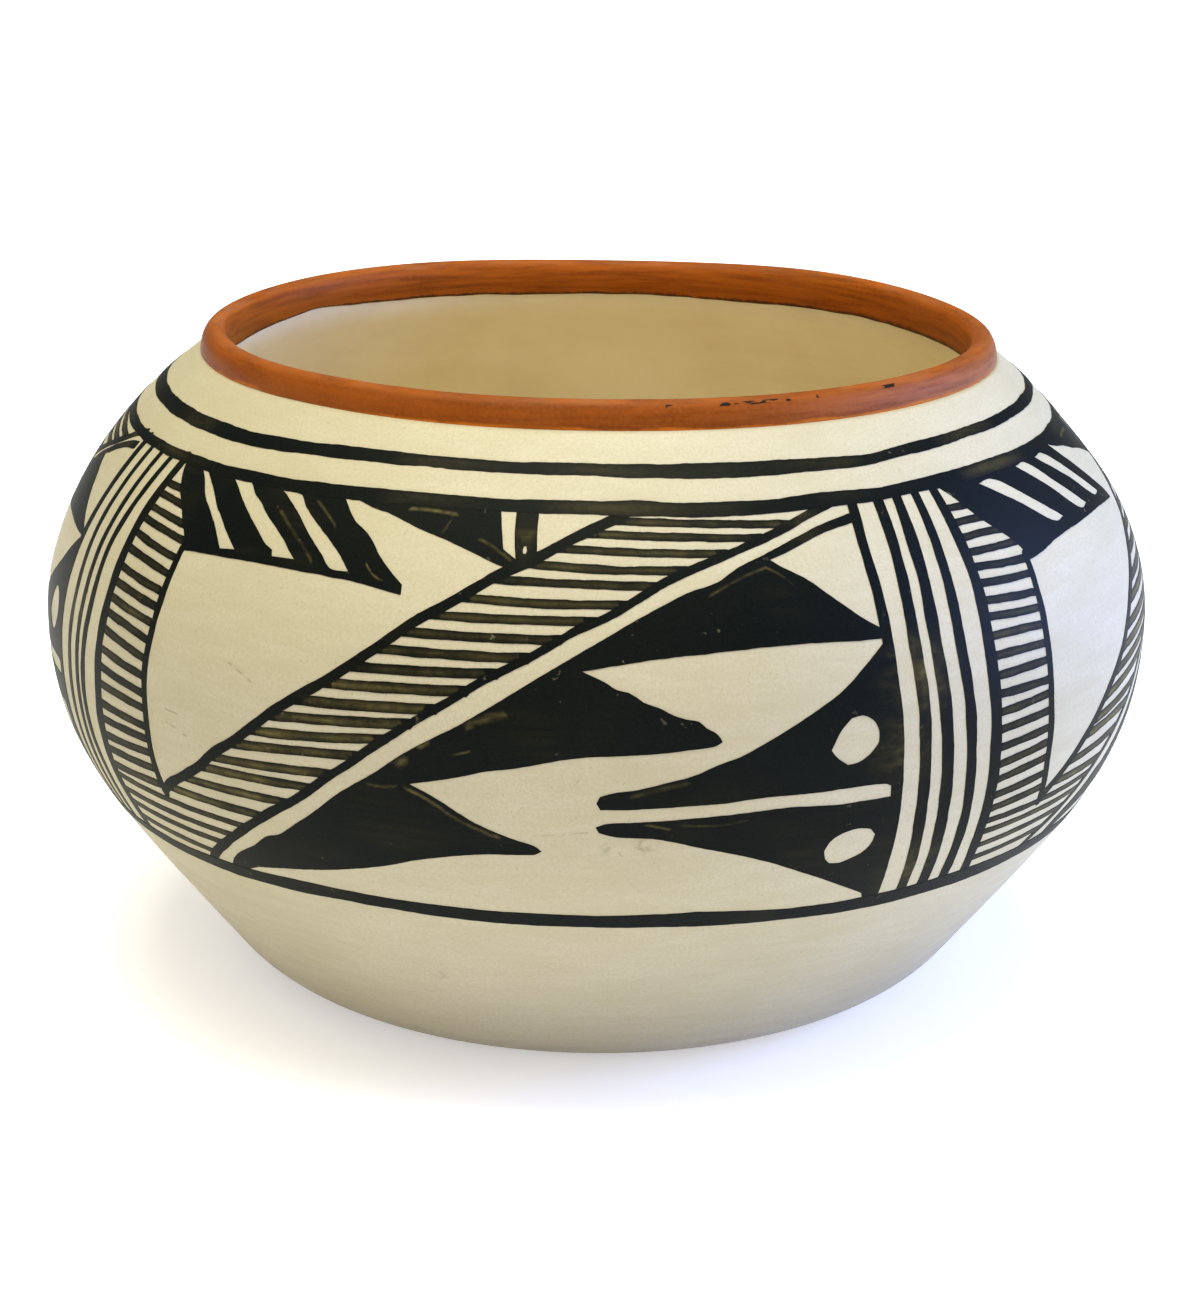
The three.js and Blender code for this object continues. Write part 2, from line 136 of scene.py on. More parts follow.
def outsideKnots():
    s = bowlShape
    turn = math.radians(s["heelTurn"])
    slope = math.radians(s["neckSlope"])
    heelHandle = s["heelRadius"] * 4 / 3 * math.tan(turn / 4)
    heelWay = Vector((math.cos(turn), math.sin(turn)))
    heelEnd = Vector((
        s["footRadius"] + s["heelRadius"] * math.sin(turn),
        s["heelRadius"] * (1 - math.cos(turn)),
    ))
    foot = Vector((s["footRadius"], 0))
    belly = Vector((s["bellyRadius"], s["bellyHeight"]))
    neck = Vector((s["neckRadius"], s["neckHeight"]))
    neckWay = Vector((math.cos(slope), -math.sin(slope)))
    return [  # handle before, knot, handle after
        (foot, foot, foot + Vector((heelHandle, 0))),
        (heelEnd - heelWay * heelHandle, heelEnd, heelEnd + heelWay * s["lowerWallHandle"]),
        (belly - Vector((0, s["bellyHandleBelow"])), belly, belly + Vector((0, s["bellyHandleAbove"]))),
        (neck + neckWay * s["neckHandle"], neck, neck),
    ]


def sampleWall():
    knots = outsideKnots()
    points = []
    for (_, start, leave), (arrive, end, _) in zip(knots, knots[1:]):
        span = interpolate_bezier(start, leave, arrive, end, bowlShape["samples"])
        points += [Vector(p[:2]) for p in span[:-1]]
    return points + [knots[-1][1]]


wallPoints = sampleWall()
wallHeights = [p.y for p in wallPoints]


def wallPoint(height, lift=0.0):
    # radius and height of the place on the outside at this height, moved out by lift
    i = min(max(bisect.bisect_left(wallHeights, height), 1), len(wallPoints) - 1)
    low, high = wallPoints[i - 1], wallPoints[i]
    share = (height - low.y) / (high.y - low.y)
    along = (high - low).normalized()
    return low + (high - low) * share + Vector((along.y, -along.x)) * lift


# places drawn in degrees round from the front and mm of height, on a flat sheet

sheetRadius = 102  # mm, the width that a radian has on the sheet


def flat(place):
    return Vector((math.radians(place[0]) * sheetRadius, place[1]))


def onWall(point, lift=0.0):
    angle = point.x / sheetRadius
    place = wallPoint(point.y * mm, lift)
    return Vector((place.x * math.sin(angle), -place.x * math.cos(angle), place.y))


def angleOf(place):
    return math.degrees(math.atan2(place.x, -place.y))


def follow(line, value, known, wanted):
    # where a drawn line is at one height, or at one angle
    for a, b in zip(line, line[1:]):
        if (value - a[known]) * (value - b[known]) <= 0 and a[known] != b[known]:
            return a[wanted] + (b[wanted] - a[wanted]) * (value - a[known]) / (b[known] - a[known])
    nearest = min(line, key=lambda p: abs(p[known] - value))
    return nearest[wanted]


# the hand's unevenness, the same for every layer of the bowl

handTouch = {
    "level": 12 * mm,  # the foot stays true below this height
    "swell": 0.35 * mm,  # how far the wall wanders in and out
    "swellSize": 48 * mm,
    "swellSquash": 1.5,  # it wanders this much quicker upwards
    "swellSeed": Vector((3, 7, 1)),
    "rimRise": 0.25 * mm,  # how far the lip wanders up and down
    "rimPace": 1.7,
    "rimSeed": Vector((11, 2, 5)),
    "rimFrom": 100 * mm,  # where the lip's wander starts
    "rimOver": 16 * mm,  # the height over which it grows
    "pushes": [  # angle, height, spread round in degrees, spread up, outwards
        (-90, 84 * mm, 45, 16 * mm, -0.5 * mm),
        (92, 103 * mm, 38, 9 * mm, -1.0 * mm),
        (90, 56 * mm, 45, 16 * mm, 0.4 * mm),
    ],
    "lifts": [  # angle, spread round in degrees, rise of the lip
        (-138, 34, 0.8 * mm),
        (140, 34, 0.9 * mm),
        (180, 30, -0.4 * mm),
    ],
}


def touched(point):
    around = Vector((point.x, point.y, 0))
    if around.length < 1e-6:
        return point
    hand = handTouch
    out = around.normalized()
    angle = angleOf(point)
    squashed = Vector((point.x, point.y, point.z * hand["swellSquash"]))
    swell = noise.noise(squashed / hand["swellSize"] + hand["swellSeed"])
    shift = swell * hand["swell"] * min(1, point.z / hand["level"])
    rise = noise.noise(out * hand["rimPace"] + hand["rimSeed"]) * hand["rimRise"]

    def away(centre, spread):
        return abs((angle - centre + 180) % 360 - 180) / spread

    for centre, height, spread, up, amount in hand["pushes"]:
        shift += amount * math.exp(-away(centre, spread) ** 2 - ((point.z - height) / up) ** 2)
    for centre, spread, amount in hand["lifts"]:
        rise += amount * math.exp(-away(centre, spread) ** 2)
    moved = point + out * shift
    moved.z += rise * clamped((point.z - hand["rimFrom"]) / hand["rimOver"])
    return moved


def touchAll(item):
    for vertex in item.data.vertices:
        vertex.co = touched(vertex.co)
    item.data.update()


# turned pieces: a curve drawn as a section, made a mesh and spun

def inMetres(places):
    return [Vector((radius * mm, height * mm)) for radius, height in places]


def drawSection(name, knots, resolution):
    bpy.ops.curve.primitive_bezier_curve_add(location=(0, 0, 0))
    curve = bpy.context.object
    curve.name = name
    spline = curve.data.splines[0]
    spline.bezier_points.add(len(knots) - 2)
    for point, (before, place, after) in zip(spline.bezier_points, knots):
        point.handle_left_type = point.handle_right_type = "FREE"
        point.co = (place[0], 0, place[1])
        point.handle_left = (before[0], 0, before[1])
        point.handle_right = (after[0], 0, after[1])
    curve.data.resolution_u = resolution
    selectOnly(curve)
    bpy.ops.object.convert(target="MESH")
    return bpy.context.object


def smoothKnots(places, corners=()):
    # handles that run smoothly through the places, sharp at the listed corners
    knots = []
    last = len(places) - 1
    for i, here in enumerate(places):
        before = places[max(i - 1, 0)]
        after = places[min(i + 1, last)]
        if i in (0, last, *corners):
            knots.append((here + (before - here) / 3, here, here + (after - here) / 3))
            continue
        way = (after - before).normalized()
        back = (here - before).length / 3
        on = (after - here).length / 3
        knots.append((here - way * back, here, here + way * on))
    return knots


def spinSection(item):
    editAll(item)
    bpy.ops.mesh.spin(
        steps=bowlShape["spinSteps"], angle=math.tau, center=(0, 0, 0), axis=(0, 0, 1), use_auto_merge=True
    )
    bpy.ops.mesh.select_all(action="SELECT")
    bpy.ops.mesh.remove_doubles(threshold=mergeGap)
    bpy.ops.mesh.normals_make_consistent(inside=False)
    bpy.ops.object.mode_set(mode="OBJECT")
    bpy.ops.object.shade_smooth()


# node helpers

def newTree(name):
    look = bpy.data.materials.new(name)
    look.use_nodes = True
    return look, look.node_tree, look.node_tree.nodes["Principled BSDF"]


def feed(tree, socket, value):
    # a socket takes a link or a plain value
    if isinstance(value, bpy.types.NodeSocket):
        tree.links.new(value, socket)
    else:
        socket.default_value = value


def addNode(tree, kind, inputs=None, **settings):
    node = tree.nodes.new("ShaderNode" + kind)
    for key, value in settings.items():
        setattr(node, key, value)
    for key, value in (inputs or {}).items():
        feed(tree, node.inputs[key], value)
    return node


def newGroup(name, vectors, numbers, outputs):
    group = bpy.data.node_groups.new(name, "ShaderNodeTree")
    addSocket = group.interface.new_socket
    for socket in vectors:
        addSocket(socket, in_out="INPUT", socket_type="NodeSocketVector")
    for socket, value in numbers.items():
        addSocket(socket, in_out="INPUT", socket_type="NodeSocketFloat").default_value = value
    for socket in outputs:
        addSocket(socket, in_out="OUTPUT", socket_type="NodeSocketFloat")
    return group, group.nodes.new("NodeGroupInput").outputs, group.nodes.new("NodeGroupOutput").inputs


def useGroup(tree, group, inputs):
    return addNode(tree, "Group", inputs, node_tree=group).outputs


def ramp(tree, value, low, high, fromLow=0.0, fromHigh=1.0):
    return addNode(tree, "MapRange", {
        "Value": value, "From Min": low, "From Max": high, "To Min": fromLow, "To Max": fromHigh,
    }, interpolation_type="SMOOTHSTEP").outputs["Result"]


def mixColour(tree, amount, first, second):
    return addNode(tree, "Mix", {0: amount, 6: first, 7: second}, data_type="RGBA").outputs[2]


def maths(tree, operation, *values):
    return addNode(tree, "Math", dict(enumerate(values)), operation=operation).outputs[0]


def times(tree, first, *others):
    for other in others:
        first = maths(tree, "MULTIPLY", first, other)
    return first


def layered(tree, look, base, layers):
    # colours laid one over another, each where all its masks are high
    colour = look[base]
    for tint, *masks in layers:
        colour = mixColour(tree, times(tree, *masks), colour, look[tint])
    return colour


def noiseAt(tree, vector, scale, detail=2.0, roughness=0.5):
    return addNode(tree, "TexNoise", {
        "Vector": vector, "Scale": scale, "Detail": detail, "Roughness": roughness,
    }).outputs["Fac"]


def vectorMaths(tree, operation, first, second, output="Value"):
    return addNode(tree, "VectorMath", {0: first, 1: second}, operation=operation).outputs[output]


def linear(red, green, blue):
    # a colour given 0 to 255, as the nodes want it
    def channel(value):
        share = value / 255
        return share / 12.92 if share <= 0.04045 else ((share + 0.055) / 1.055) ** 2.4
    return (channel(red), channel(green), channel(blue), 1.0)


def objectPlace(tree):
    return addNode(tree, "TexCoord").outputs["Object"]


# marks that more than one material has, each a group

def buildClayGrain():
    # slow mottling, fine grit and a height for bump
    group, given, out = newGroup(
        "clayGrain", ["Vector"], {"Mottle Size": 60.0, "Grit Size": 900.0}, ["Mottle", "Grit", "Height"],
    )
    mottle = noiseAt(group, given["Vector"], given["Mottle Size"], detail=4.0, roughness=0.6)
    grit = noiseAt(group, given["Vector"], given["Grit Size"], detail=3.0, roughness=0.7)
    group.links.new(ramp(group, mottle, low=0.3, high=0.7), out["Mottle"])
    group.links.new(ramp(group, grit, low=0.3, high=0.75), out["Grit"])
    deeper = times(group, mottle, 1.5)
    group.links.new(maths(group, "ADD", deeper, grit), out["Height"])
    return group


def buildSpecks():
    # scattered small irregular specks, in loose clouds
    group, given, out = newGroup(
        "specks", ["Vector"], {"Size": 700.0, "Rarity": 0.7, "Cloud Size": 45.0}, ["Mask"],
    )
    fine = noiseAt(group, given["Vector"], given["Size"], roughness=0.6)
    cloud = noiseAt(group, given["Vector"], given["Cloud Size"])
    level = maths(group, "SUBTRACT", fine, given["Rarity"])
    sharp = addNode(group, "MapRange", {"Value": level, "From Min": 0.0, "From Max": 0.05}).outputs["Result"]
    group.links.new(times(group, sharp, ramp(group, cloud, low=0.35, high=0.65)), out["Mask"])
    return group


def buildSmudge():
    # a soft broken mark round one place
    group, given, out = newGroup("smudge", ["Vector", "Centre"], {"Reach": 0.004, "Grain": 900.0}, ["Mask"])
    away = vectorMaths(group, "DISTANCE", given["Vector"], given["Centre"])
    near = maths(group, "DIVIDE", away, given["Reach"])
    broken = noiseAt(group, given["Vector"], given["Grain"], detail=3.0, roughness=0.7)
    soft = ramp(group, near, 0.1, 1.0, fromLow=1.0, fromHigh=0.0)
    group.links.new(times(group, soft, ramp(group, broken, low=0.42, high=0.62)), out["Mask"])
    return group


def buildScratch():
    # a thin broken line from one place along its way
    group, given, out = newGroup(
        "scratch", ["Vector", "Start", "Way"], {"Length": 0.002, "Width": 0.0003}, ["Mask"],
    )
    away = vectorMaths(group, "SUBTRACT", given["Vector"], given["Start"], "Vector")
    along = vectorMaths(group, "DOT_PRODUCT", away, given["Way"])
    along = maths(group, "MINIMUM", maths(group, "MAXIMUM", along, 0.0), given["Length"])
    nearest = addNode(group, "VectorMath", {0: given["Way"], "Scale": along}, operation="SCALE").outputs["Vector"]
    off = maths(group, "DIVIDE", vectorMaths(group, "DISTANCE", away, nearest), given["Width"])
    line = ramp(group, off, 0.3, 1.0, fromLow=1.0, fromHigh=0.0)
    broken = noiseAt(group, given["Vector"], scale=900.0)
    group.links.new(times(group, line, ramp(group, broken, low=0.35, high=0.55)), out["Mask"])
    return group


def buildBrushMarks():
    # streaks along the brush, and patches, thin where the value is high
    group, given, out = newGroup(
        "brushMarks", ["Vector", "Patch Vector"], {"Patch Size": 70.0}, ["Streak", "Patch"],
    )
    streak = noiseAt(group, given["Vector"], scale=1.0, detail=5.0, roughness=0.65)
    patch = noiseAt(group, given["Patch Vector"], given["Patch Size"])
    group.links.new(ramp(group, streak, low=0.35, high=0.7), out["Streak"])
    group.links.new(ramp(group, patch, low=0.45, high=0.7), out["Patch"])
    return group


clayGrain = buildClayGrain()
specks = buildSpecks()
smudge = buildSmudge()
scratch = buildScratch()
brushMarks = buildBrushMarks()


def grained(tree, place, sizes):
    return useGroup(tree, clayGrain, {"Vector": place, "Mottle Size": sizes[0], "Grit Size": sizes[1]})


def speckled(tree, place, sizes):
    size, rarity, cloud = sizes
    return useGroup(tree, specks, {"Vector": place, "Size": size, "Rarity": rarity, "Cloud Size": cloud})


def stretched(tree, place, squeeze):
    # coordinates squeezed around the bowl and up it, for marks that run one way
    around, up = squeeze
    return addNode(tree, "Mapping", {"Vector": place, "Scale": (around, around, up)}).outputs["Vector"]


def brushed(tree, place, squeeze, patch):
    return useGroup(tree, brushMarks, {
        "Vector": stretched(tree, place, squeeze), "Patch Vector": place, "Patch Size": patch,
    })


def finishLook(tree, shader, look, colour, height):
    tree.links.new(colour, shader.inputs["Base Color"])
    shader.inputs["Roughness"].default_value = look["roughness"]
    shader.inputs["Specular IOR Level"].default_value = look["specular"]
    distance, strength = look["bump"]
    bump = addNode(tree, "Bump", {"Height": height, "Distance": distance, "Strength": strength})
    tree.links.new(bump.outputs["Normal"], shader.inputs["Normal"])


# materials: sizes are paces of noise, shares say how much of a colour is laid over

slipLook = {
    "base": linear(192, 184, 161),
    "warm": linear(177, 167, 136),
    "pale": linear(202, 196, 176),
    "speck": linear(118, 98, 62),
    "smudge": linear(112, 104, 76),
    "grain": (24.0, 1900.0),
    "polish": (70, 520),
    "polishPatch": 28.0,
    "specks": (1300.0, 0.66, 60.0),
    "mottleShare": 0.6,
    "streakShare": 0.35,
    "gritShare": 0.7,
    "speckShare": 0.3,
    "smudges": [  # angle, height in mm, reach in mm, strength
        (4.6, 55.7, 2.6, 0.55), (1.2, 55.2, 2.0, 0.35), (-18.0, 24.0, 2.6, 0.25), (118.0, 66.0, 3.0, 0.35),
        (-150.0, 50.0, 3.0, 0.35),
    ],
    "scratches": [  # angle and height in mm of one end and of the other, strength
        (-44.3, 68.6, -42.3, 68.4, 0.55), (-44.1, 66.3, -42.5, 65.7, 0.6), (-41.7, 65.1, -41.2, 65.0, 0.5),
        (-34.8, 78.6, -33.0, 77.2, 0.4), (-36.5, 79.4, -34.6, 79.0, 0.35), (-5.2, 57.2, -0.6, 58.1, 0.3),
        (1.9, 55.6, 2.6, 53.8, 0.4), (-30.0, 28.0, -27.0, 27.2, 0.3), (60.0, 70.0, 62.4, 69.2, 0.4),
        (150.0, 74.0, 152.5, 73.5, 0.4), (-120.0, 64.0, -117.8, 63.6, 0.4),
    ],
    "scratchWidth": 0.28 * mm,
    "roughness": 0.56,
    "polished": -0.08,  # change of roughness on a polishing streak
    "specular": 0.3,
    "bump": (0.05 * mm, 0.5),  # distance, strength
}


def makeCreamSlip():
    look, tree, shader = newTree("creamSlip")
    slip = slipLook
    place = objectPlace(tree)
    grain = grained(tree, place, slip["grain"])
    polish = brushed(tree, place, slip["polish"], slip["polishPatch"])
    dots = speckled(tree, place, slip["specks"])
    marks = []
    for angle, height, reach, strength in slip["smudges"]:
        centre = onWall(flat((angle, height)))
        mark = useGroup(tree, smudge, {"Vector": place, "Centre": centre, "Reach": reach * mm})
        marks.append(("smudge", mark["Mask"], strength))
    for *start, lastAngle, lastHeight, strength in slip["scratches"]:
        start, end = onWall(flat(start)), onWall(flat((lastAngle, lastHeight)))
        mark = useGroup(tree, scratch, {
            "Vector": place, "Start": start, "Way": (end - start).normalized(), "Length": (end - start).length,
            "Width": slip["scratchWidth"],
        })
        marks.append(("smudge", mark["Mask"], strength))
    colour = layered(tree, slip, "base", [
        ("warm", grain["Mottle"], slip["mottleShare"]),
        ("pale", polish["Streak"], slip["streakShare"]),
        ("warm", grain["Grit"], slip["gritShare"]),
        ("speck", dots["Mask"], slip["speckShare"]),
        *marks,
    ])
    finishLook(tree, shader, slip, colour, grain["Height"])
    rough = maths(tree, "MULTIPLY_ADD", polish["Streak"], slip["polished"], slip["roughness"])
    tree.links.new(rough, shader.inputs["Roughness"])
    return look


# the clay's colours are made pale: painted light that stands in for the weak light inside the mouth
clayLook = {
    "base": linear(232, 220, 188),
    "dark": linear(223, 208, 172),
    "light": linear(238, 228, 202),
    "grain": (30.0, 600.0),
    "scrape": (14, 160),
    "scrapePatch": 24.0,
    "scrapeShare": 0.25,
    "roughness": 0.8,
    "specular": 0.25,
    "bump": (0.08 * mm, 0.5),
}


def makeBareClay():
    look, tree, shader = newTree("bareClay")
    place = objectPlace(tree)
    grain = grained(tree, place, clayLook["grain"])
    scrape = brushed(tree, place, clayLook["scrape"], clayLook["scrapePatch"])
    colour = layered(tree, clayLook, "base", [
        ("dark", grain["Mottle"]), ("light", scrape["Streak"], clayLook["scrapeShare"]),
    ])
    finishLook(tree, shader, clayLook, colour, grain["Height"])
    return look


rimLook = {
    # the outside's colour is darker than the inside's: painted shade on the lip's outer face
    "outside": linear(130, 63, 6),
    "inside": linear(163, 82, 11),
    "dark": linear(96, 43, 4),
    "light": linear(160, 88, 36),
    # a pinkish painted sheen on the lip's outer face, towards the right
    "paintedSheen": linear(158, 98, 62),
    "crest": linear(150, 92, 54),
    "foot": linear(196, 106, 20),
    "seam": linear(66, 42, 18),
    "fleck": linear(30, 20, 12),
    "strokes": (60, 900),
    "strokesPatch": 30.0,
    "grain": (130.0, 1500.0),
    "turnOut": (70.6 * mm, 72.4 * mm),  # radii between which the inside's colour becomes the outside's darker one, painted shade on the outer face
    "paintedSheenSpan": (10 * mm, 66 * mm, 0.0, 0.6),  # span to the right for the painted sheen, and its least and most share
    "crestSpan": (119.9 * mm, 120.6 * mm),  # heights
    "crestShare": 0.85,
    "streakShare": 0.7,
    "patchShare": 0.35,
    "gritShare": 0.3,
    "footWander": 0.5 * mm,
    "footHeights": (116.5 * mm, 117.0 * mm, 1.0, 0.0),
    "footRadii": (71.6 * mm, 72.2 * mm),
    "footPatch": (0.0, 0.6, 0.8, 0.2),
    "hemSize": 420.0,
    "hemRagged": 1.4,
    "hemRamp": (0.05, 0.45, 0.0, 0.9),
    "fleckRadii": (71.4 * mm, 72.0 * mm, 0.1 * mm),  # inner, outer, soft edge
    "fleckDashes": (420, 1500),
    "fleckEdge": 0.3 * mm,
    "flecks": [(10.6, 12.0), (19.4, 29.2), (30.3, 31.4), (35.4, 36.2), (46.8, 49.4)],  # mm to the right
    "roughness": 0.5,
    "specular": 0.08,
    "bump": (0.08 * mm, 0.5),
}


def between(tree, value, low, high, edge):
    # 1 from low to high, with soft edges inside them
    return times(tree, ramp(tree, value, low, low + edge), ramp(tree, value, high - edge, high, 1.0, 0.0))


def makeOrangeSlip():
    look, tree, shader = newTree("orangeSlip")
    rim = rimLook
    place = objectPlace(tree)
    strokes = brushed(tree, place, rim["strokes"], rim["strokesPatch"])
    grain = grained(tree, place, rim["grain"])
    axes = addNode(tree, "SeparateXYZ", {"Vector": place}).outputs
    level = addNode(tree, "CombineXYZ", {"X": axes["X"], "Y": axes["Y"]}).outputs["Vector"]
    radius = addNode(tree, "VectorMath", {0: level}, operation="LENGTH").outputs["Value"]
    # painted shade: the outer face of the lip takes the darker outside colour
    outward = ramp(tree, radius, *rim["turnOut"])
    # thinner and yellower in a fine line along the outer foot of the lip
    uneven = maths(tree, "MULTIPLY_ADD", grain["Mottle"], rim["footWander"], axes["Z"])
    low = times(tree, ramp(tree, uneven, *rim["footHeights"]), ramp(tree, radius, *rim["footRadii"]))
    # dark and ragged where it ends inside the mouth
    hemWay = addNode(tree, "Attribute", attribute_name="hem").outputs["Fac"]
    ragged = noiseAt(tree, place, rim["hemSize"], detail=3.0, roughness=0.7)
    dirty = maths(tree, "SUBTRACT", times(tree, ragged, rim["hemRagged"]), hemWay)
    # black flecks that the brush left beside the crest
    dashes = noiseAt(tree, stretched(tree, place, rim["fleckDashes"]), scale=1.0, detail=3.0)
    atFront = maths(tree, "LESS_THAN", axes["Y"], 0.0)
    near = times(tree, atFront, between(tree, radius, *rim["fleckRadii"]), ramp(tree, dashes, low=0.47, high=0.52))
    flecks = [between(tree, axes["X"], start * mm, end * mm, rim["fleckEdge"]) for start, end in rim["flecks"]]
    colour = layered(tree, rim, "inside", [
        ("outside", outward),
        # painted sheen on the outer face, growing towards the right
        ("paintedSheen", outward, ramp(tree, axes["X"], *rim["paintedSheenSpan"])),
        ("crest", ramp(tree, axes["Z"], *rim["crestSpan"]), grain["Mottle"], rim["crestShare"]),
        ("dark", strokes["Streak"], rim["streakShare"]),
        ("light", strokes["Patch"], rim["patchShare"]),
        ("light", grain["Grit"], rim["gritShare"]),
        ("foot", low, ramp(tree, strokes["Patch"], *rim["footPatch"])),
        ("seam", ramp(tree, dirty, *rim["hemRamp"])),
        *(("fleck", near, fleck) for fleck in flecks),
    ])
    finishLook(tree, shader, rim, colour, strokes["Streak"])
    return look


paintLook = {
    "dense": linear(5, 9, 8),
    "grainy": linear(22, 27, 23),
    "thin": linear(104, 94, 56),
    "bare": linear(166, 156, 126),
    "patch": 60.0,
    "grain": (800.0, 2400.0),
    "holes": (600.0, 0.70, 40.0),
    "pooled": 0.4,  # how far the mottling thins a washy stroke
    "streaked": 0.85,  # how far the streaks do
    "even": 0.12,  # how far it is thinned all over
    "loose": 0.05,  # how far streaks thin the dense paint
    "gritShare": 0.4,
    "holeShare": 0.25,
    "roughness": 0.5,
    "specular": 0.06,
    "bump": (0.03 * mm, 0.4),
}


def makeBlackPaint(name, squeeze):
    look, tree, shader = newTree(name)
    paint = paintLook
    place = objectPlace(tree)
    marks = brushed(tree, place, squeeze, paint["patch"])
    grain = grained(tree, place, paint["grain"])
    holes = speckled(tree, place, paint["holes"])
    wash = addNode(tree, "Attribute", attribute_name="wash").outputs["Fac"]
    pooled = times(tree, grain["Mottle"], paint["pooled"])
    streaked = times(tree, marks["Streak"], paint["streaked"])
    patchy = maths(tree, "ADD", maths(tree, "ADD", pooled, streaked), paint["even"])
    loose = times(tree, marks["Patch"], marks["Streak"], paint["loose"])
    thin = maths(tree, "MINIMUM", maths(tree, "MAXIMUM", times(tree, wash, patchy), loose), 1.0)
    colour = layered(tree, paint, "dense", [
        ("grainy", grain["Grit"], paint["gritShare"]), ("thin", thin), ("bare", holes["Mask"], paint["holeShare"]),
    ])
    finishLook(tree, shader, paint, colour, marks["Streak"])
    return look


creamSlip = makeCreamSlip()
bareClay = makeBareClay()
orangeSlip = makeOrangeSlip()
blackAlong = makeBlackPaint("blackPaintAlong", (30, 500))
blackUp = makeBlackPaint("blackPaintUp", (500, 30))
print("materials ready")


# cream slip, spun from the outside curve

slipCoat = {
    "from": 0.8 * mm,  # height of its lower edge
    "to": 116.2 * mm,
    "thickness": 0.4 * mm,
    "resolution": 40,
}


def makeCreamCoat():
    coat = drawSection("creamCoat", outsideKnots(), slipCoat["resolution"])
    editAll(coat)
    bpy.ops.mesh.bisect(plane_co=(0, 0, slipCoat["from"]), plane_no=(0, 0, 1), clear_inner=True)
    bpy.ops.mesh.select_all(action="SELECT")
    bpy.ops.mesh.bisect(plane_co=(0, 0, slipCoat["to"]), plane_no=(0, 0, 1), clear_outer=True)
    bpy.ops.object.mode_set(mode="OBJECT")
    spinSection(coat)
    thicken(coat, slipCoat["thickness"])
    touchAll(coat)
    finishPiece(coat, ["cream_slip"], creamSlip)


# clay body, one section from the foot over the lip and down inside

clayBody = {
    "behindSlip": 0.55 * mm,
    "footInset": 0.6 * mm,
    "outerHeights": (1.2, 4, 9, 20, 36, 52, 70, 86, 98, 108, 115),
    "lip": [(72.0, 117.6), (71.6, 119.2)],  # radius and height
    "innerWall": [  # radius and height, from under the lip down to the middle of the floor
        (70.1, 120.2), (68.7, 118.6), (68.6, 116.4), (69.4, 113.2), (71.6, 110.2), (77.0, 105.6),
        (83.4, 99.5), (90.6, 90.0), (95.2, 79.0), (96.5, 69.0), (94.6, 56.0), (88.6, 42.6),
        (80.0, 30.0), (70.6, 18.2), (63.0, 10.8), (52.0, 7.0), (36.0, 6.0), (0.0, 6.0),
    ],
    "resolution": 8,
}


def makeClayBody():
    outer = [wallPoint(h * mm, -clayBody["behindSlip"]) for h in clayBody["outerHeights"]]
    foot = Vector((bowlShape["footRadius"] - clayBody["footInset"], 0))
    places = [Vector((0, 0)), foot, *outer, *inMetres(clayBody["lip"] + clayBody["innerWall"])]
    body = drawSection("clayBody", smoothKnots(places, corners=(1,)), clayBody["resolution"])
    spinSection(body)
    touchAll(body)
    nodes = ["base_slab", *(f"wall_coil_{i}" for i in range(1, 10)), "rim_coil"]
    finishPiece(body, nodes, bareClay)


# orange slip over the lip

lipCoat = {
    "thickness": 0.4 * mm,
    "resolution": 6,
    "outside": 71.2 * mm,  # radius beyond which an edge is the outer one
    "wander": 0.42 * mm,  # how far its two edges stray
    "slow": (55, 0.7),  # pace and share of the slow and the quick straying
    "quick": (190, 0.5),
    "quickSeed": Vector((3, 3, 3)),
    # pairs for the inner and the outer edge
    "edge": (115.2 * mm, 117.6 * mm),  # heights under which they stray
    "reach": (1.8 * mm, 1.2 * mm),  # the height over which they come to stray
    "lean": (0.26, 0.1),  # how far they move outwards for each step down
    "hemReach": 1.2,  # mm
    "hemFar": 9,  # the hem's mark on the outside, out of its reach
    "hem": [  # angle and rise in mm of the edge in the mouth
        (-180, 0.6), (-166, 0.3), (-151, 0.5), (-135, 0.8), (-124, 1.3), (-106, 0.3), (-90, 0), (150, 0),
        (163, 0.1), (172, 0.6), (180, 0.6),
    ],
    "section": [  # radius and height, from the outer foot over the crest and into the mouth
        (72.95, 116.15), (72.85, 117.4), (72.45, 118.8), (71.5, 120.15), (70.1, 120.7),
        (68.75, 120.1), (68.05, 118.6), (68.0, 116.2), (68.75, 113.3),
    ],
}


def makeLipCoat():
    lip = lipCoat
    coat = drawSection("lipCoat", smoothKnots(inMetres(lip["section"])), lip["resolution"])
    spinSection(coat)
    hemStart = lip["section"][-1][1]
    hemMark = coat.data.attributes.new("hem", "FLOAT", "POINT")
    (slowPace, slowShare), (quickPace, quickShare) = lip["slow"], lip["quick"]
    for vertex in coat.data.vertices:
        place = vertex.co
        around = Vector((place.x, place.y, 0))
        outer = around.length > lip["outside"]
        wander = noise.noise(around * slowPace) * slowShare
        wander += noise.noise(around * quickPace + lip["quickSeed"]) * quickShare
        reach = clamped((lip["edge"][outer] - place.z) / lip["reach"][outer])
        drop = wander * lip["wander"] * reach
        if not outer:
            drop += follow(lip["hem"], angleOf(place), 0, 1) * mm * reach
        hemMark.data[vertex.index].value = lip["hemFar"] if outer else (place.z / mm - hemStart) / lip["hemReach"]
        vertex.co = place + Vector((0, 0, drop)) - around.normalized() * drop * lip["lean"][outer]
    thicken(coat, lip["thickness"])
    touchAll(coat)
    finishPiece(coat, ["rim_slip"], orangeSlip)


makeCreamCoat()
print("cream slip spun")
makeClayBody()
print("clay body spun")
makeLipCoat()
print("orange lip spun")


# paint: outlines laid on the flat sheet, filled, then bent onto the wall

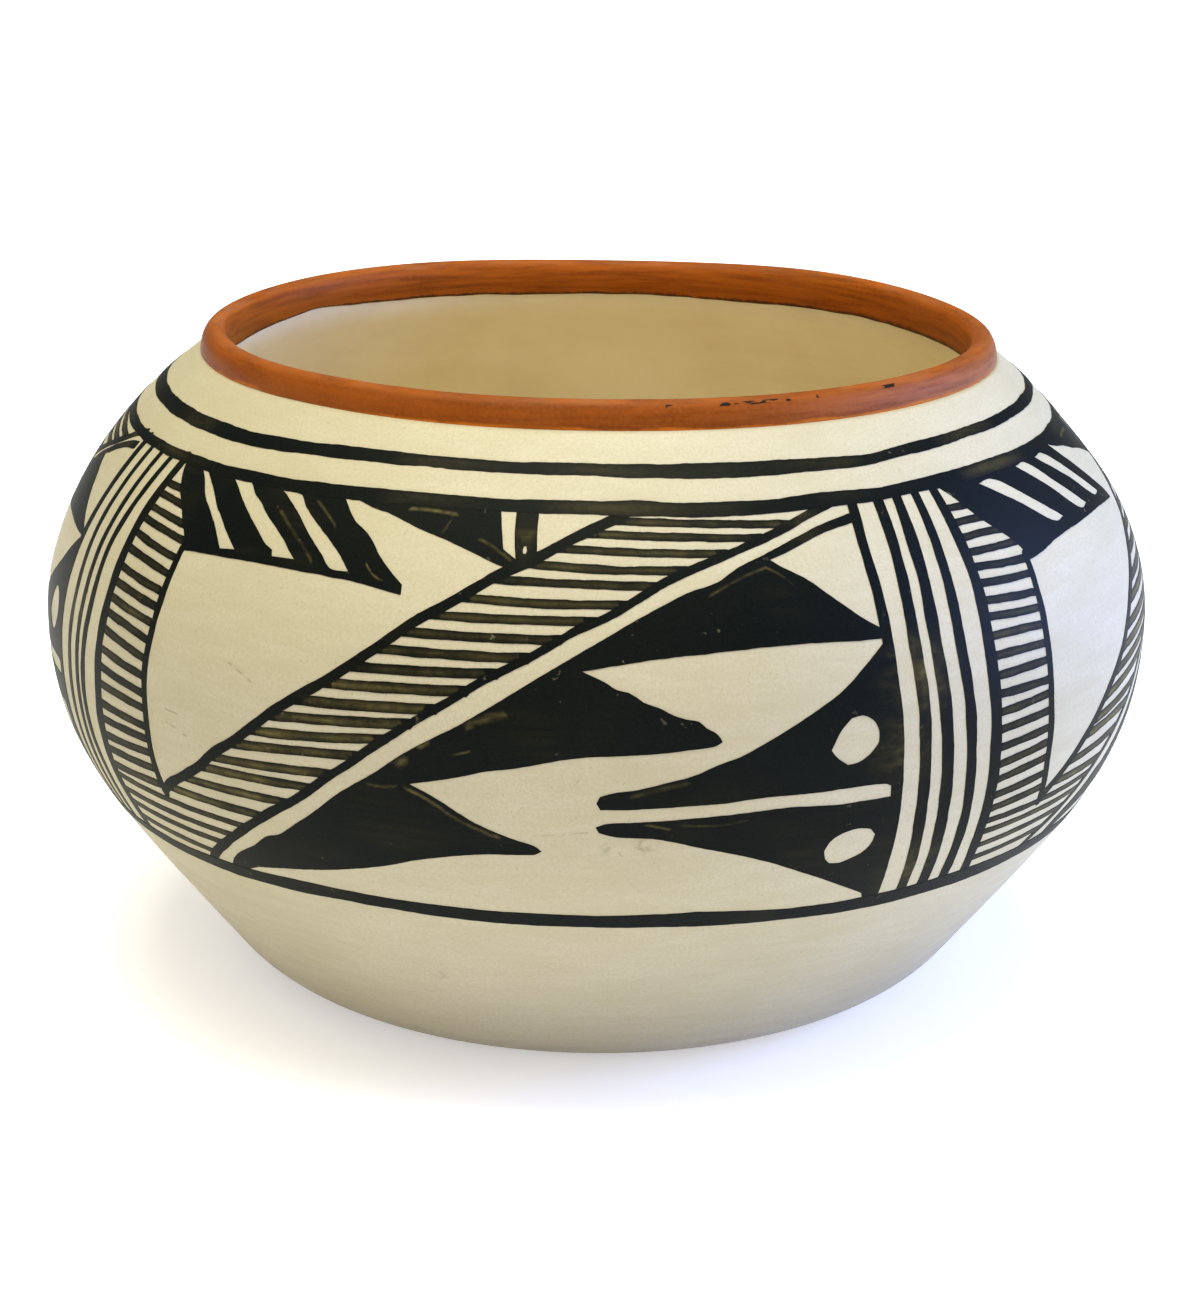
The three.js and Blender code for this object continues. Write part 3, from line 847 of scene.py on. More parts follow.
brush = {
    "step": 0.8,  # mm between points of an outline
    "sharp": 0.6,  # radians, a corner that turns more stays sharp
    "pull": 2.2,  # how far a short span bends a long one beside it
    "waver": 0.07,  # mm, slow wandering of an edge
    "waverPace": 0.3,
    "fray": 0.06,  # mm, quick roughness of an edge
    "frayPace": 1.1,
    "press": 0.16,  # share by which a stroke widens and narrows
    "pressPace": 0.22,
    "tip": [(0.22, 0.3), (0.3, 0), (0.22, -0.3)],  # a stroke's blunt end, on and across, in widths
    "runs": (0.75, 0.6),  # how thin a washy stroke is, and how far that changes
    "runPace": 0.25,
    "seamPace": 1.3,
    "fadeRuns": (0.5, 0.9),
    "fadePace": (0.5, 0.9),
    "fill": 2.4,  # mm between the points inside a figure
    "coat": 0.11 * mm,
    "sink": 0.03 * mm,  # how far the coat's back lies in the slip
    "smooth": 40,  # degrees, edges that turn more are sharp
}


def rounded(points, closed):
    # a smooth line through the points at an even step, with sharp corners kept
    count = len(points)
    result = []
    for i in range(count if closed else count - 1):
        start, end = points[i], points[(i + 1) % count]
        span = end - start
        ways = []
        for j in (i, (i + 1) % count):
            if not closed and j in (0, count - 1):
                ways.append(span)
                continue
            before = points[j] - points[j - 1]
            after = points[(j + 1) % count] - points[j]
            soft = (before / max(before.length, 1e-6) + after / max(after.length, 1e-6)).normalized()
            reach = min(span.length, brush["pull"] * min(before.length, after.length))
            ways.append(soft * reach if before.angle(after, 0) < brush["sharp"] else span)
        steps = max(1, round(span.length / brush["step"]))
        for k in range(steps):
            t = k / steps
            a, b = t * t * (3 - 2 * t), t * (1 - t)
            result.append(start * (1 - a) + end * a + (ways[0] * (1 - t) - ways[1] * t) * b)
    if not closed:
        result.append(points[-1])
    return result


def frayed(points, seed):
    # a hand's unevenness along an outline, which then runs anticlockwise
    slowPace, quickPace = brush["waverPace"], brush["frayPace"]
    moved = []
    for point in points:
        slow = noise.noise_vector(Vector((point.x * slowPace, point.y * slowPace, seed)))
        quick = noise.noise_vector(Vector((point.x * quickPace, point.y * quickPace, seed + 50)))
        shift = slow * brush["waver"] + quick * brush["fray"]
        moved.append(point + Vector(shift[:2]))
    area = sum(a.x * b.y - b.x * a.y for a, b in zip(moved, moved[1:] + moved[:1]))
    return moved if area > 0 else moved[::-1]


def figure(places, seed):
    # a filled outline
    outline = frayed(rounded([flat(p) for p in places], True), seed)
    return {"outline": outline, "core": [], "wash": 0.0}


def acrossAt(line, i):
    along = (line[min(i + 1, len(line) - 1)] - line[max(i - 1, 0)]).normalized()
    return Vector((-along.y, along.x))


def stroke(places, width, seed, wash=0.0, lastWidth=None):
    # a brush stroke along a line, with blunt round ends
    line = rounded([flat(p) for p in places], False)
    lastWidth = lastWidth or width
    pace = brush["pressPace"]
    left, right, ends = [], [], []
    for i, point in enumerate(line):
        press = 1 + brush["press"] * noise.noise(Vector((point.x * pace, point.y * pace, seed + 9)))
        across = acrossAt(line, i) * (width + (lastWidth - width) * i / (len(line) - 1)) / 2 * press
        left.append(point + across)
        right.append(point - across)
    for row, wide in ((line, lastWidth), (line[::-1], width)):
        across = acrossAt(row, len(row) - 1)
        along = Vector((across.y, -across.x))
        ends.append([row[-1] + along * wide * on + across * wide * side for on, side in brush["tip"]])
    outline = frayed(left + ends[0] + right[::-1] + ends[1], seed)
    return {"outline": outline, "core": line[2:-2], "wash": wash}


def thinning(point, pace):
    # how the paint runs thick and thin along a stroke
    usual, change = brush["runs"]
    return usual + change * noise.noise(Vector((point.x * pace, point.y * pace, 3)))


def seamRows(seams):
    # the middle of each thin line with its thinness, and a place to each side of it
    for line, reach, amount in seams:
        row = rounded([flat(p) for p in line], False)
        for i, point in enumerate(row):
            across = acrossAt(row, i) * reach
            thin = amount * thinning(point, brush["seamPace"]) if 0 < i < len(row) - 1 else 0
            yield thin, [point, point + across, point - across]


def fillPlaces(points):
    # a staggered grid over the points' box, clear of the points themselves
    gap = brush["fill"]
    low = Vector((min(p.x for p in points), min(p.y for p in points)))
    high = Vector((max(p.x for p in points), max(p.y for p in points)))
    taken = KDTree(len(points))
    for i, point in enumerate(points):
        taken.insert((*point, 0), i)
    taken.balance()
    for i in range(int((high.x - low.x) / gap)):
        for j in range(int((high.y - low.y) / gap)):
            spot = low + Vector((i + 0.5 + 0.5 * (j % 2), j + 0.5)) * gap
            if taken.find((*spot, 0))[2] > gap * 0.5:
                yield spot


def fadeAt(point, fades):
    # how thin the soft worn places leave the paint
    thin = 0
    usual, change = brush["fadeRuns"]
    around, up = brush["fadePace"]
    for place, size, amount in fades:
        away = (point - flat(place)).length / size
        patchy = usual + change * noise.noise(Vector((point.x * around, point.y * up, 21)))
        thin = max(thin, amount * math.exp(-away ** 2) * patchy)
    return thin


def finishFilm(film, node, look, thickness):
    # a flat sheet of paint made a thin solid
    editAll(film)
    bpy.ops.mesh.remove_doubles(threshold=mergeGap)
    bpy.ops.object.mode_set(mode="OBJECT")
    thicken(film, thickness)
    bpy.ops.object.shade_smooth_by_angle(angle=math.radians(brush["smooth"]))
    finishPiece(film, [node], look)


def layPaint(side, part, look, strokes, holes=(), fades=(), seams=()):
    points, faces, washes, seamAt = [], [], {}, {}
    for shape in [*strokes, *holes]:
        faces.append(list(range(len(points), len(points) + len(shape["outline"]))))
        points += shape["outline"]
    for shape in strokes:
        if shape["wash"] > 0:
            for point in shape["core"]:
                washes[len(points)] = shape["wash"] * thinning(point, brush["runPace"])
                points.append(point)
    for thin, places in seamRows(seams):
        seamAt[len(points)] = thin
        points += places
    points += list(fillPlaces(points))
    verts, _, tris, madeOf, _, inside = delaunay_2d_cdt(points, [], faces, 1, 1e-4)
    kept = [tri for tri, owners in zip(tris, inside) if owners and max(owners) < len(strokes)]
    used = sorted({v for tri in kept for v in tri})
    order = {v: i for i, v in enumerate(used)}
    dense = set()
    for tri, owners in zip(tris, inside):
        if any(o < len(strokes) and strokes[o]["wash"] == 0 for o in owners):
            dense.update(tri)
    mesh = bpy.data.meshes.new(side + part.title().replace("_", ""))
    places = [touched(onWall(verts[v], brush["coat"] - brush["sink"])) for v in used]
    mesh.from_pydata(places, [], [[order[v] for v in tri] for tri in kept])
    wash = mesh.attributes.new("wash", "FLOAT", "POINT")
    for v in used:
        washy = [] if v in dense else [washes.get(o, 0) for o in madeOf[v]]
        seamy = [seamAt.get(o, 0) for o in madeOf[v]]
        wash.data[order[v]].value = max([fadeAt(verts[v], fades), *washy, *seamy])
    film = bpy.data.objects.new(mesh.name, mesh)
    bpy.context.scene.collection.objects.link(film)
    finishFilm(film, f"{side}_{part}", look, brush["coat"])


# the panel at the front: degrees round from the front, heights in mm

frontPanel = {
    "start": -55.5,
    "width": 95.8,
    "border": [
        (-54.7, 105.7), (-55.3, 100), (-55.7, 95), (-55.9, 80), (-56.1, 75), (-56.4, 67), (-56.7, 60),
        (-56.5, 50), (-56.0, 45), (-55.6, 39.8),
    ],
    "borderWidth": 2.5,
    "strip": [
        (-46.4, 94), (-46.6, 90), (-46.9, 82), (-47.3, 74), (-47.3, 65), (-47.1, 58), (-46.7, 54), (-46.3, 51.8),
    ],
    "stripRows": [  # height at the border, height at the other end
        (101.7, 101.5), (100.1, 99.4), (97.9, 97.0), (96.1, 94.8), (93.8, 92.2), (91.3, 89.7), (88.3, 86.9),
        (85.8, 84.4), (83.2, 81.8), (80.7, 78.9), (77.9, 75.8), (74.4, 72.8), (71.2, 69.8), (68.0, 67.2),
        (64.4, 64.0), (61.5, 61.8), (58.4, 59.3), (55.9, 56.5), (52.9, 53.7),
    ],
    "longRows": [(50.9, 50.9), (48.2, 48.2), (45.7, 45.7), (42.9, 42.7)],
    "bandRows": [
        (54.1, 54.1), (57.1, 57.9), (60.4, 61.5), (62.8, 64.6), (66.2, 68.4), (69.3, 71.8), (72.6, 74.6),
        (75.9, 77.3), (79.3, 80.4), (82.3, 83.2), (85.4, 85.7), (88.2, 88.4), (90.9, 91.1), (93.6, 93.4),
        (96.4, 95.9), (98.7, 97.9), (100.9, 100.0), (102.9, 101.8), (104.6, 103.4),
    ],
    "corner": [
        (-54.4, 105.7), (-53.2, 103.4), (-51.7, 101.3), (-49.8, 99.4), (-48.3, 97.3), (-46.8, 95.2),
        (-46.5, 93.6), (-43.3, 94.0), (-35.0, 94.6), (-26.7, 94.5), (-23.3, 94.2), (-18.9, 93.2),
        (-19.0, 94.7), (-21.7, 97.9), (-23.7, 100.7), (-26.3, 102.9), (-28.4, 105.7),
    ],
    "slits": [
        [(-50.1, 104.8), (-48.8, 103.7), (-47.3, 101.9), (-45.2, 100.1), (-43.3, 98.3), (-42.0, 96.6),
         (-41.1, 95.3), (-39.1, 95.7), (-40.0, 96.6), (-41.3, 97.9), (-43.0, 99.6), (-44.7, 101.1),
         (-46.0, 102.5), (-47.8, 103.9), (-49.2, 104.8)],
        [(-44.1, 104.9), (-42.5, 103.6), (-40.8, 102.1), (-39.2, 100.7), (-37.5, 99.3), (-35.7, 97.6),
         (-34.4, 96.8), (-34.1, 95.9), (-31.3, 96.1), (-32.3, 97.1), (-33.3, 98.3), (-34.8, 99.7),
         (-36.7, 101.1), (-38.3, 102.5), (-40.0, 103.7), (-41.4, 104.9)],
        [(-36.4, 104.8), (-35.7, 104.4), (-34.2, 103.3), (-32.8, 102.1), (-31.3, 100.5), (-30.0, 99.1),
         (-28.3, 97.3), (-27.0, 95.7), (-24.9, 95.6), (-26.2, 97.5), (-27.7, 99.1), (-29.2, 100.5),
         (-31.3, 102.3), (-32.7, 103.6), (-33.6, 104.7)],
        [(-7.35, 100.1), (-7.1, 100.0), (-7.0, 100.4), (-7.1, 101.1), (-7.3, 101.1), (-7.4, 100.6)],
    ],
    "upperSlant": [
        (-46.6, 52.4), (-45.0, 54.8), (-42.9, 56.9), (-40.0, 60.1), (-37.6, 63.6), (-35.0, 66.6), (-32.7, 69.8),
        (-30.4, 73.1), (-27.7, 76.4), (-25.0, 79.5), (-21.7, 83.7), (-19.0, 87.2), (-17.0, 89.8), (-14.3, 92.4),
        (-11.7, 95.0), (-9.5, 97.1), (-6.4, 99.2), (-3.5, 101.5), (-1.0, 103.2), (1.8, 104.9), (3.2, 105.7),
    ],
    "lowerSlant": [
        (-43.6, 39.6), (-42.6, 41.4), (-40.6, 44.2), (-38.0, 47.3), (-36.0, 49.8), (-33.8, 52.4), (-31.3, 55.4),
        (-29.0, 57.9), (-26.9, 60.6), (-24.6, 63.9), (-22.3, 66.8), (-20.3, 69.7), (-18.0, 72.7), (-15.4, 75.9),
        (-12.9, 78.7), (-10.0, 82.1), (-7.0, 84.8), (-4.4, 87.2), (-1.8, 89.8), (1.0, 91.7), (4.0, 94.3),
        (6.8, 96.6), (9.7, 98.3), (13.0, 99.9), (16.5, 101.5), (20.0, 103.1), (24.0, 105.0), (26.0, 105.7),
    ],
    "slantWidths": [(1.8, 1.5), (1.7, 1.05)],
    "wedge": [
        (-27.5, 105.7), (-25.0, 104.7), (-22.3, 104.0), (-19.0, 102.6), (-16.0, 101.5), (-13.0, 100.1),
        (-10.3, 98.7), (-8.6, 97.9), (-7.6, 98.9), (-9.4, 100.6), (-9.8, 102.9), (-10.2, 105.7),
    ],
    "ties": [
        ([(-8.2, 105.7), (-8.1, 102.8), (-7.7, 99.3)], 1.3),
        ([(-7.3, 105.7), (-7.3, 102.8), (-7.0, 99.4)], 1.9),
        ([(-6.5, 105.7), (-6.45, 102.8), (-6.25, 99.6)], 1.2),
    ],
    "serration": [
        (-40.4, 39.8), (-39.0, 42.9), (-37.7, 44.6), (-35.0, 47.3), (-32.7, 50.1), (-31.3, 50.9), (-29.3, 53.4),
        (-26.3, 57.3), (-23.7, 61.2), (-20.0, 65.7), (-16.7, 70.1), (-14.7, 72.3), (-11.7, 75.4), (-8.3, 79.3),
        (-4.3, 83.7), (-0.7, 87.3), (4.3, 91.8), (9.0, 95.1), (11.7, 96.3), (13.7, 97.9), (17.7, 100.1),
        (21.7, 102.1), (25.7, 103.6), (28.2, 104.2), (28.2, 103.0), (24.0, 101.9), (21.7, 100.9), (19.3, 99.7),
        (17.4, 98.9), (18.3, 98.0), (21.0, 95.7), (23.7, 92.3), (26.7, 88.7), (28.2, 87.3), (28.2, 86.3),
        (25.0, 86.5), (18.3, 86.9), (11.7, 86.5), (5.0, 85.6), (0.0, 84.3), (-1.2, 84.0), (0.8, 82.5),
        (2.0, 81.3), (3.0, 80.9), (4.3, 79.5), (5.6, 78.6), (6.9, 77.4), (8.0, 76.8), (9.2, 76.3),
        (9.9, 75.2), (10.9, 74.1), (11.3, 72.9), (10.7, 72.3),
        (8.3, 71.8), (5.0, 71.3), (-0.7, 70.8), (-3.3, 70.1), (-6.7, 68.7), (-9.3, 67.9), (-13.0, 66.1),
        (-16.6, 64.6), (-15.2, 63.5), (-13.6, 62.0), (-12.2, 60.4), (-10.2, 58.5), (-7.9, 56.8), (-6.6, 56.0),
        (-5.3, 55.3), (-4.7, 54.4),
        (-5.2, 53.8), (-10.0, 53.2), (-13.0, 52.3), (-16.7, 50.7), (-20.0, 48.7), (-26.7, 45.7), (-33.3, 43.4),
        (-36.0, 42.3), (-37.6, 41.0), (-38.4, 39.8),
    ],
    "leaves": [
        (28.3, 86.6), (27.3, 85.4), (25.4, 82.9), (22.7, 79.3), (18.7, 75.4), (14.7, 71.8), (13.0, 70.4),
        (10.8, 69.1), (8.8, 67.6), (6.0, 66.4), (4.3, 65.6), (1.7, 64.9), (0.5, 64.3), (0.2, 63.2), (0.6, 62.1),
        (3.0, 62.1), (8.3, 62.5), (11.7, 62.7), (15.0, 63.2), (20.0, 63.2), (24.3, 63.3), (27.4, 63.0),
        (28.1, 62.3), (28.2, 60.7), (23.3, 60.6), (19.7, 60.9), (17.7, 61.1), (10.0, 60.4), (3.3, 59.8),
        (1.0, 59.6), (0.2, 59.0), (0.5, 58.1), (1.8, 57.4), (5.7, 56.8), (10.0, 54.8), (14.7, 52.4),
        (19.0, 49.3), (24.0, 45.1), (27.7, 41.8), (28.3, 39.8), (29.6, 39.8), (29.2, 60.0), (28.8, 75.0),
    ],
    "dots": [
        [(21.5, 70.1), (22.5, 73.2), (23.5, 74.9), (24.6, 75.1), (25.6, 74.3), (26.3, 72.3), (26.3, 70.4),
         (25.4, 68.6), (24.3, 67.5), (23.2, 67.3), (22.2, 68.6)],
        [(21.8, 52.2), (22.3, 54.0), (23.5, 55.3), (25.0, 55.7), (26.3, 55.3), (26.9, 54.1), (26.8, 52.8),
         (26.2, 51.2), (25.0, 50.1), (23.7, 49.4), (22.7, 49.6), (22.1, 50.6)],
    ],
    "leafBorder": [
        (28.5, 105.7), (28.0, 100), (28.0, 95), (28.0, 90), (28.0, 80), (28.2, 70), (28.5, 60), (28.8, 50),
        (29.4, 39.8),
    ],
    "leafBorderWidth": 2.1,
    "stripes": [
        [
            (31.9, 105.7), (31.6, 100), (31.3, 95), (30.9, 85), (31.2, 75), (31.5, 65), (31.8, 55), (32.5, 45),
            (32.8, 39.8),
        ],
        [
            (34.5, 105.7), (34.1, 100), (33.8, 95), (33.3, 85), (33.6, 75), (34.1, 65), (34.6, 53), (35.4, 42),
            (35.5, 39.8),
        ],
        [
            (37.2, 105.7), (37.0, 100), (36.7, 95), (36.2, 83), (36.5, 75), (37.0, 65), (37.5, 55), (38.0, 45),
            (38.4, 39.8),
        ],
    ],
    "stripeWidths": [2.35, 2.5, 2.2],
    "fades": [  # place, size in mm, how thin the paint is
        ((29.1, 68.0), 4.5, 0.5), ((31.2, 80.0), 5.0, 0.7), ((32.3, 46.0), 4.5, 0.6), ((-7.2, 102.0), 2.2, 0.35),
        ((22.0, 104.0), 4.0, 0.3),
    ],
    "seams": [  # line that the brush left thin, reach to each side in mm, how thin
        ([(-17.3, 64.0), (-15.9, 63.1), (-14.1, 61.4), (-12.8, 59.8), (-10.7, 58.0), (-8.2, 56.3)], 0.45, 0.75),
        ([(-20.9, 63.8), (-19.3, 63.6), (-17.6, 64.0)], 0.4, 0.5),
        ([(-17.9, 67.0), (-17.3, 68.2), (-16.5, 69.2)], 1.1, 0.65),
        ([(-15.9, 70.6), (-15.2, 71.5), (-14.5, 72.3)], 0.7, 0.6),
        ([(-11.6, 74.8), (-9.8, 76.2), (-7.6, 77.3)], 0.9, 0.65),
        ([(-12.6, 70.1), (-11.7, 70.6), (-10.8, 71.0)], 0.3, 0.8),
        ([(10.5, 94.2), (12.4, 95.6), (14.7, 97.0), (16.8, 97.9), (17.9, 97.0), (19.4, 95.3)], 0.3, 0.5),
        ([(3.0, 64.2), (4.8, 65.1), (6.8, 65.9), (8.6, 66.5)], 0.6, 0.45),
        ([(4.4, 59.5), (5.6, 59.1), (7.0, 58.4)], 0.35, 0.8),
        ([(7.6, 59.2), (11.3, 58.9), (14.1, 59.5)], 0.3, 0.4),
        ([(-31.5, 104.5), (-29.4, 102.8), (-27.7, 101.2)], 0.3, 0.65),
        ([(-23.4, 97.2), (-22.1, 95.5), (-20.9, 94.8)], 0.25, 0.75),
        ([(-35.6, 102.4), (-32.6, 99.7), (-30.5, 97.7), (-29.0, 95.9)], 0.4, 0.4),
        ([(-20.4, 104.9), (-18.8, 105.0), (-16.8, 104.9), (-14.6, 104.7)], 0.35, 0.7),
        ([(-15.3, 104.2), (-15.7, 102.9), (-16.2, 101.7)], 0.3, 0.45),
        ([(-12.2, 101.8), (-10.5, 100.8), (-8.2, 98.8)], 0.35, 0.5),
        ([(-24.4, 104.6), (-22.6, 103.9), (-20.2, 102.8)], 0.35, 0.6),
    ],
}


repaint = {
    "stray": 0.6,  # degrees and mm that a second painting strays from the first
    "pace": 5,  # over the width of a panel
    "size": 20,  # mm up
    "rowPace": (0.9, 0.1),
    "rowSeed": 30,
}


def mapPlaces(item, move):
    # the same change made to every place in a drawing
    if isinstance(item, tuple) and len(item) == 2 and all(isinstance(v, (int, float)) for v in item):
        return move(item)
    return type(item)(mapPlaces(part, move) if isinstance(part, (list, tuple)) else part for part in item)


def redrawn(start, width, seed):
    # the same panel painted again beside the first, with the small changes of a second painting
    panel = dict(frontPanel)
    stray = repaint["stray"]
    rowPace, rowSize = repaint["rowPace"]

    def move(place):
        share = (place[0] - frontPanel["start"]) / frontPanel["width"]
        drift = noise.noise_vector(Vector((share * repaint["pace"], place[1] / repaint["size"], seed)))
        return (start + share * width + drift.x * stray, place[1] + drift.y * stray)

    for part in (
        "border", "strip", "corner", "slits", "upperSlant", "lowerSlant", "wedge", "ties", "serration", "leaves",
        "dots", "leafBorder", "stripes", "fades", "seams",
    ):
        panel[part] = mapPlaces(frontPanel[part], move)
    for part in ("stripRows", "longRows", "bandRows"):
        panel[part] = []
        for i, (first, last) in enumerate(frontPanel[part]):
            drift = noise.noise_vector(Vector((i * rowPace, i * rowSize, seed + repaint["rowSeed"])))
            panel[part].append((first + drift.x * stray, last + drift.y * stray))
    return panel


rightPanel = redrawn(40.3, 96.0, 4.0)
rightPanel.update({
    "border": [
        (40.0, 105.7), (40.2, 100), (40.2, 92), (39.8, 85), (39.7, 80), (40.1, 65), (40.3, 60), (40.6, 50),
        (41.0, 45), (41.6, 39.8),
    ],
    "strip": [
        (48.9, 94), (48.3, 85), (48.0, 80), (47.9, 72), (48.3, 65), (48.5, 60), (48.8, 57), (49.2, 53.5),
        (49.4, 50.9),
    ],
    "stripRows": [
        (102.6, 102.4), (100.5, 100.3), (98.3, 98.1), (96.2, 95.9), (94.1, 93.3), (91.7, 91.1), (89.1, 88.2),
        (86.7, 85.8), (83.7, 83.2), (80.6, 80.3), (77.4, 77.6), (74.4, 74.3), (71.2, 72.0), (68.2, 68.9),
        (65.0, 65.9), (61.9, 63.2), (59.1, 60.4), (56.2, 57.3), (53.7, 54.6),
    ],
    "longRows": [(51.2, 51.5), (49.0, 49.3), (46.2, 46.8), (43.4, 43.9)],
    "corner": [
        (40.8, 105.7), (42.2, 104.0), (44.5, 100.5), (47.0, 97.5), (48.8, 94.8), (49.3, 92.8), (52.0, 93.3),
        (55.0, 94.1), (59.7, 94.6), (70.0, 94.6), (77.7, 93.6), (77.3, 94.8), (75.7, 96.8), (73.0, 100.1),
        (69.3, 104.3), (68.2, 105.7),
    ],
    "slits": [
        [(47.6, 104.7), (50.3, 104.8), (54.8, 101.2), (59.6, 96.6), (57.6, 96.4), (52.6, 100.7)],
        [(56.4, 105.2), (58.9, 105.2), (63.2, 100.9), (67.3, 96.3), (65.0, 96.2), (60.6, 101.1)],
        [(62.1, 105.1), (64.8, 105.1), (69.6, 100.7), (73.7, 96.2), (71.7, 96.1), (67.2, 100.7)],
    ],
    "upperSlant": [
        (49.4, 52.0), (52.1, 55.4), (54.9, 59.3), (58.3, 64.3), (61.6, 69.3), (64.3, 73.5), (66.0, 76.4),
        (68.4, 79.8), (71.7, 83.5), (75.2, 87.0), (78.2, 89.3), (82.5, 93.3), (88.4, 98.2), (95.0, 102.8),
        (99.5, 105.7),
    ],
    "lowerSlant": [
        (50.9, 39.8), (53.3, 43.2), (55.7, 45.6), (58.0, 48.4), (61.3, 52.7), (64.7, 56.8), (68.0, 60.7),
        (71.3, 65.1), (76.0, 70.9), (81.0, 76.8), (86.0, 82.1), (92.0, 87.9), (98.0, 93.0), (104.0, 97.3),
        (111.0, 101.2), (118.0, 104.0), (122.4, 105.7),
    ],
})
backPanel = redrawn(136.3, 84.0, 8.0)
leftPanel = redrawn(-139.7, 84.2, 12.0)

leftLift = {
    "back": 1.7,  # degrees that the figures are moved to the left
    "up": 2.7,  # mm that they are moved up at the middle of the band
    "middle": 72,
    "spread": 20,
}


def higher(place):
    near = math.exp(-((place[1] - leftLift["middle"]) / leftLift["spread"]) ** 4)
    return (place[0] - leftLift["back"], place[1] + leftLift["up"] * near)


leftPanel.update({part: mapPlaces(leftPanel[part], higher) for part in ("leaves", "dots", "serration", "seams")})
leftPanel.update({
    "leafBorder": [(-66.4, 105.7), (-66.9, 98), (-67.6, 90), (-67.9, 80), (-67.9, 70), (-67.8, 55), (-67.2, 39.8)],
    "stripes": [
        [(-63.4, 105.7), (-63.9, 99), (-64.4, 90), (-64.0, 80), (-64.3, 65), (-64.4, 50), (-64.2, 39.8)],
        [(-60.3, 105.7), (-61.1, 97), (-61.6, 90), (-61.5, 80), (-61.9, 65), (-61.8, 50), (-61.6, 39.8)],
        [
            (-57.5, 105.7), (-58.3, 100), (-59.0, 95), (-59.5, 90), (-59.4, 80), (-60.3, 65), (-60.1, 57),
            (-59.5, 50), (-59.3, 39.8),
        ],
    ],
    "stripeWidths": [1.6, 1.6, 1.7],
})


hatchLook = {
    "stripWidth": 1.55,  # mm, the line beside the hatched strip
    "cornerLap": 1.1,  # degrees that the strip's rows reach into the dark corner
    "long": {"width": 1.15, "thin": 0.5},
    "strip": {
        "widths": [(78, 1.45), (102, 1.0)],  # height and width in mm
        "sag": [(78, 0.12), (102, 0)],  # height, and how many mm a row lies under its own heights
        "bow": (0.3, 2.7, 1),  # mm, pace, seed
        "thin": (0.4, 0.25, 88),  # how thin the paint is below and above a height
        "seed": 10,
    },
    "band": {
        "widths": [(54, 1.55), (62, 1.55), (72, 1.7), (80, 1.75), (88, 1.4), (96, 1.2), (104, 1.05)],
        "sag": [(78, 0.12), (102, -0.1)],
        "bow": (0.35, 3.1, 7),
        "thin": (0.9, 0.4, 82),
        "seed": 60,
    },
}


def hatchRow(kind, i, start, end, seed):
    # a row that hangs a little and bows in the middle
    look = hatchLook[kind]
    size, pace, bowSeed = look["bow"]
    lowThin, highThin, limit = look["thin"]
    sag = follow(look["sag"], end[1], 0, 1)
    bow = size * noise.noise(Vector((i * pace, seed, bowSeed)))
    middle = ((start[0] + end[0]) / 2, (start[1] + end[1]) / 2 + bow - sag)
    row = [(start[0], start[1] - sag), middle, (end[0], end[1] - sag)]
    width = follow(look["widths"], end[1], 0, 1)
    return stroke(row, width, seed + look["seed"] + i, highThin if end[1] > limit else lowThin)


def hatching(panel, seed):
    # the strokes and figures of a panel's hatching, and the slits in its corner
    upperWide, lowerWide = panel["slantWidths"]
    shapes = [
        stroke(panel["border"], panel["borderWidth"], seed),
        stroke(panel["strip"], hatchLook["stripWidth"], seed + 1),
        stroke(panel["upperSlant"], upperWide[0], seed + 2, lastWidth=upperWide[1]),
        stroke(panel["lowerSlant"], lowerWide[0], seed + 3, lastWidth=lowerWide[1]),
        figure(panel["corner"], seed + 4),
        figure(panel["wedge"], seed + 5),
    ]
    shapes += [stroke(line, thick, seed + 6 + i) for i, (line, thick) in enumerate(panel["ties"])]
    cornerEdge = panel["corner"][:6]
    for i, (first, last) in enumerate(panel["stripRows"]):
        if last > panel["strip"][0][1]:
            end = follow(cornerEdge, last, 1, 0) + hatchLook["cornerLap"]
        else:
            end = follow(panel["strip"], last, 1, 0)
        shapes.append(hatchRow("strip", i, (follow(panel["border"], first, 1, 0), first), (end, last), seed))
    for i, (first, last) in enumerate(panel["longRows"]):
        row = [(follow(panel["border"], first, 1, 0), first), (follow(panel["lowerSlant"], last, 1, 0), last)]
        shapes.append(stroke(row, hatchLook["long"]["width"], seed + 40 + i, hatchLook["long"]["thin"]))
    for i, (first, last) in enumerate(panel["bandRows"]):
        start, end = follow(panel["upperSlant"], first, 1, 0), follow(panel["lowerSlant"], last, 1, 0)
        shapes.append(hatchRow("band", i, (start, first), (end, last), seed))
    return shapes, [figure(slit, seed + 90 + i) for i, slit in enumerate(panel["slits"])]


def layPanel(side, panel, seed):
    marks = panel["fades"], panel["seams"]
    layPaint(side, "hatching", blackAlong, *hatching(panel, seed), *marks)
    layPaint(side, "serration", blackAlong, [figure(panel["serration"], seed + 7)], (), *marks)
    leaves = [figure(panel["leaves"], seed + 8), stroke(panel["leafBorder"], panel["leafBorderWidth"], seed + 8.5)]
    dots = [figure(dot, seed + 95 + i) for i, dot in enumerate(panel["dots"])]
    layPaint(side, "leaves", blackAlong, leaves, dots, *marks)
    for i, (line, thick) in enumerate(zip(panel["stripes"], panel["stripeWidths"])):
        layPaint(side, f"stripe_{i + 1}", blackUp, [stroke(line, thick, seed + 9 + i)], (), panel["fades"])


# the three painted lines that run right round

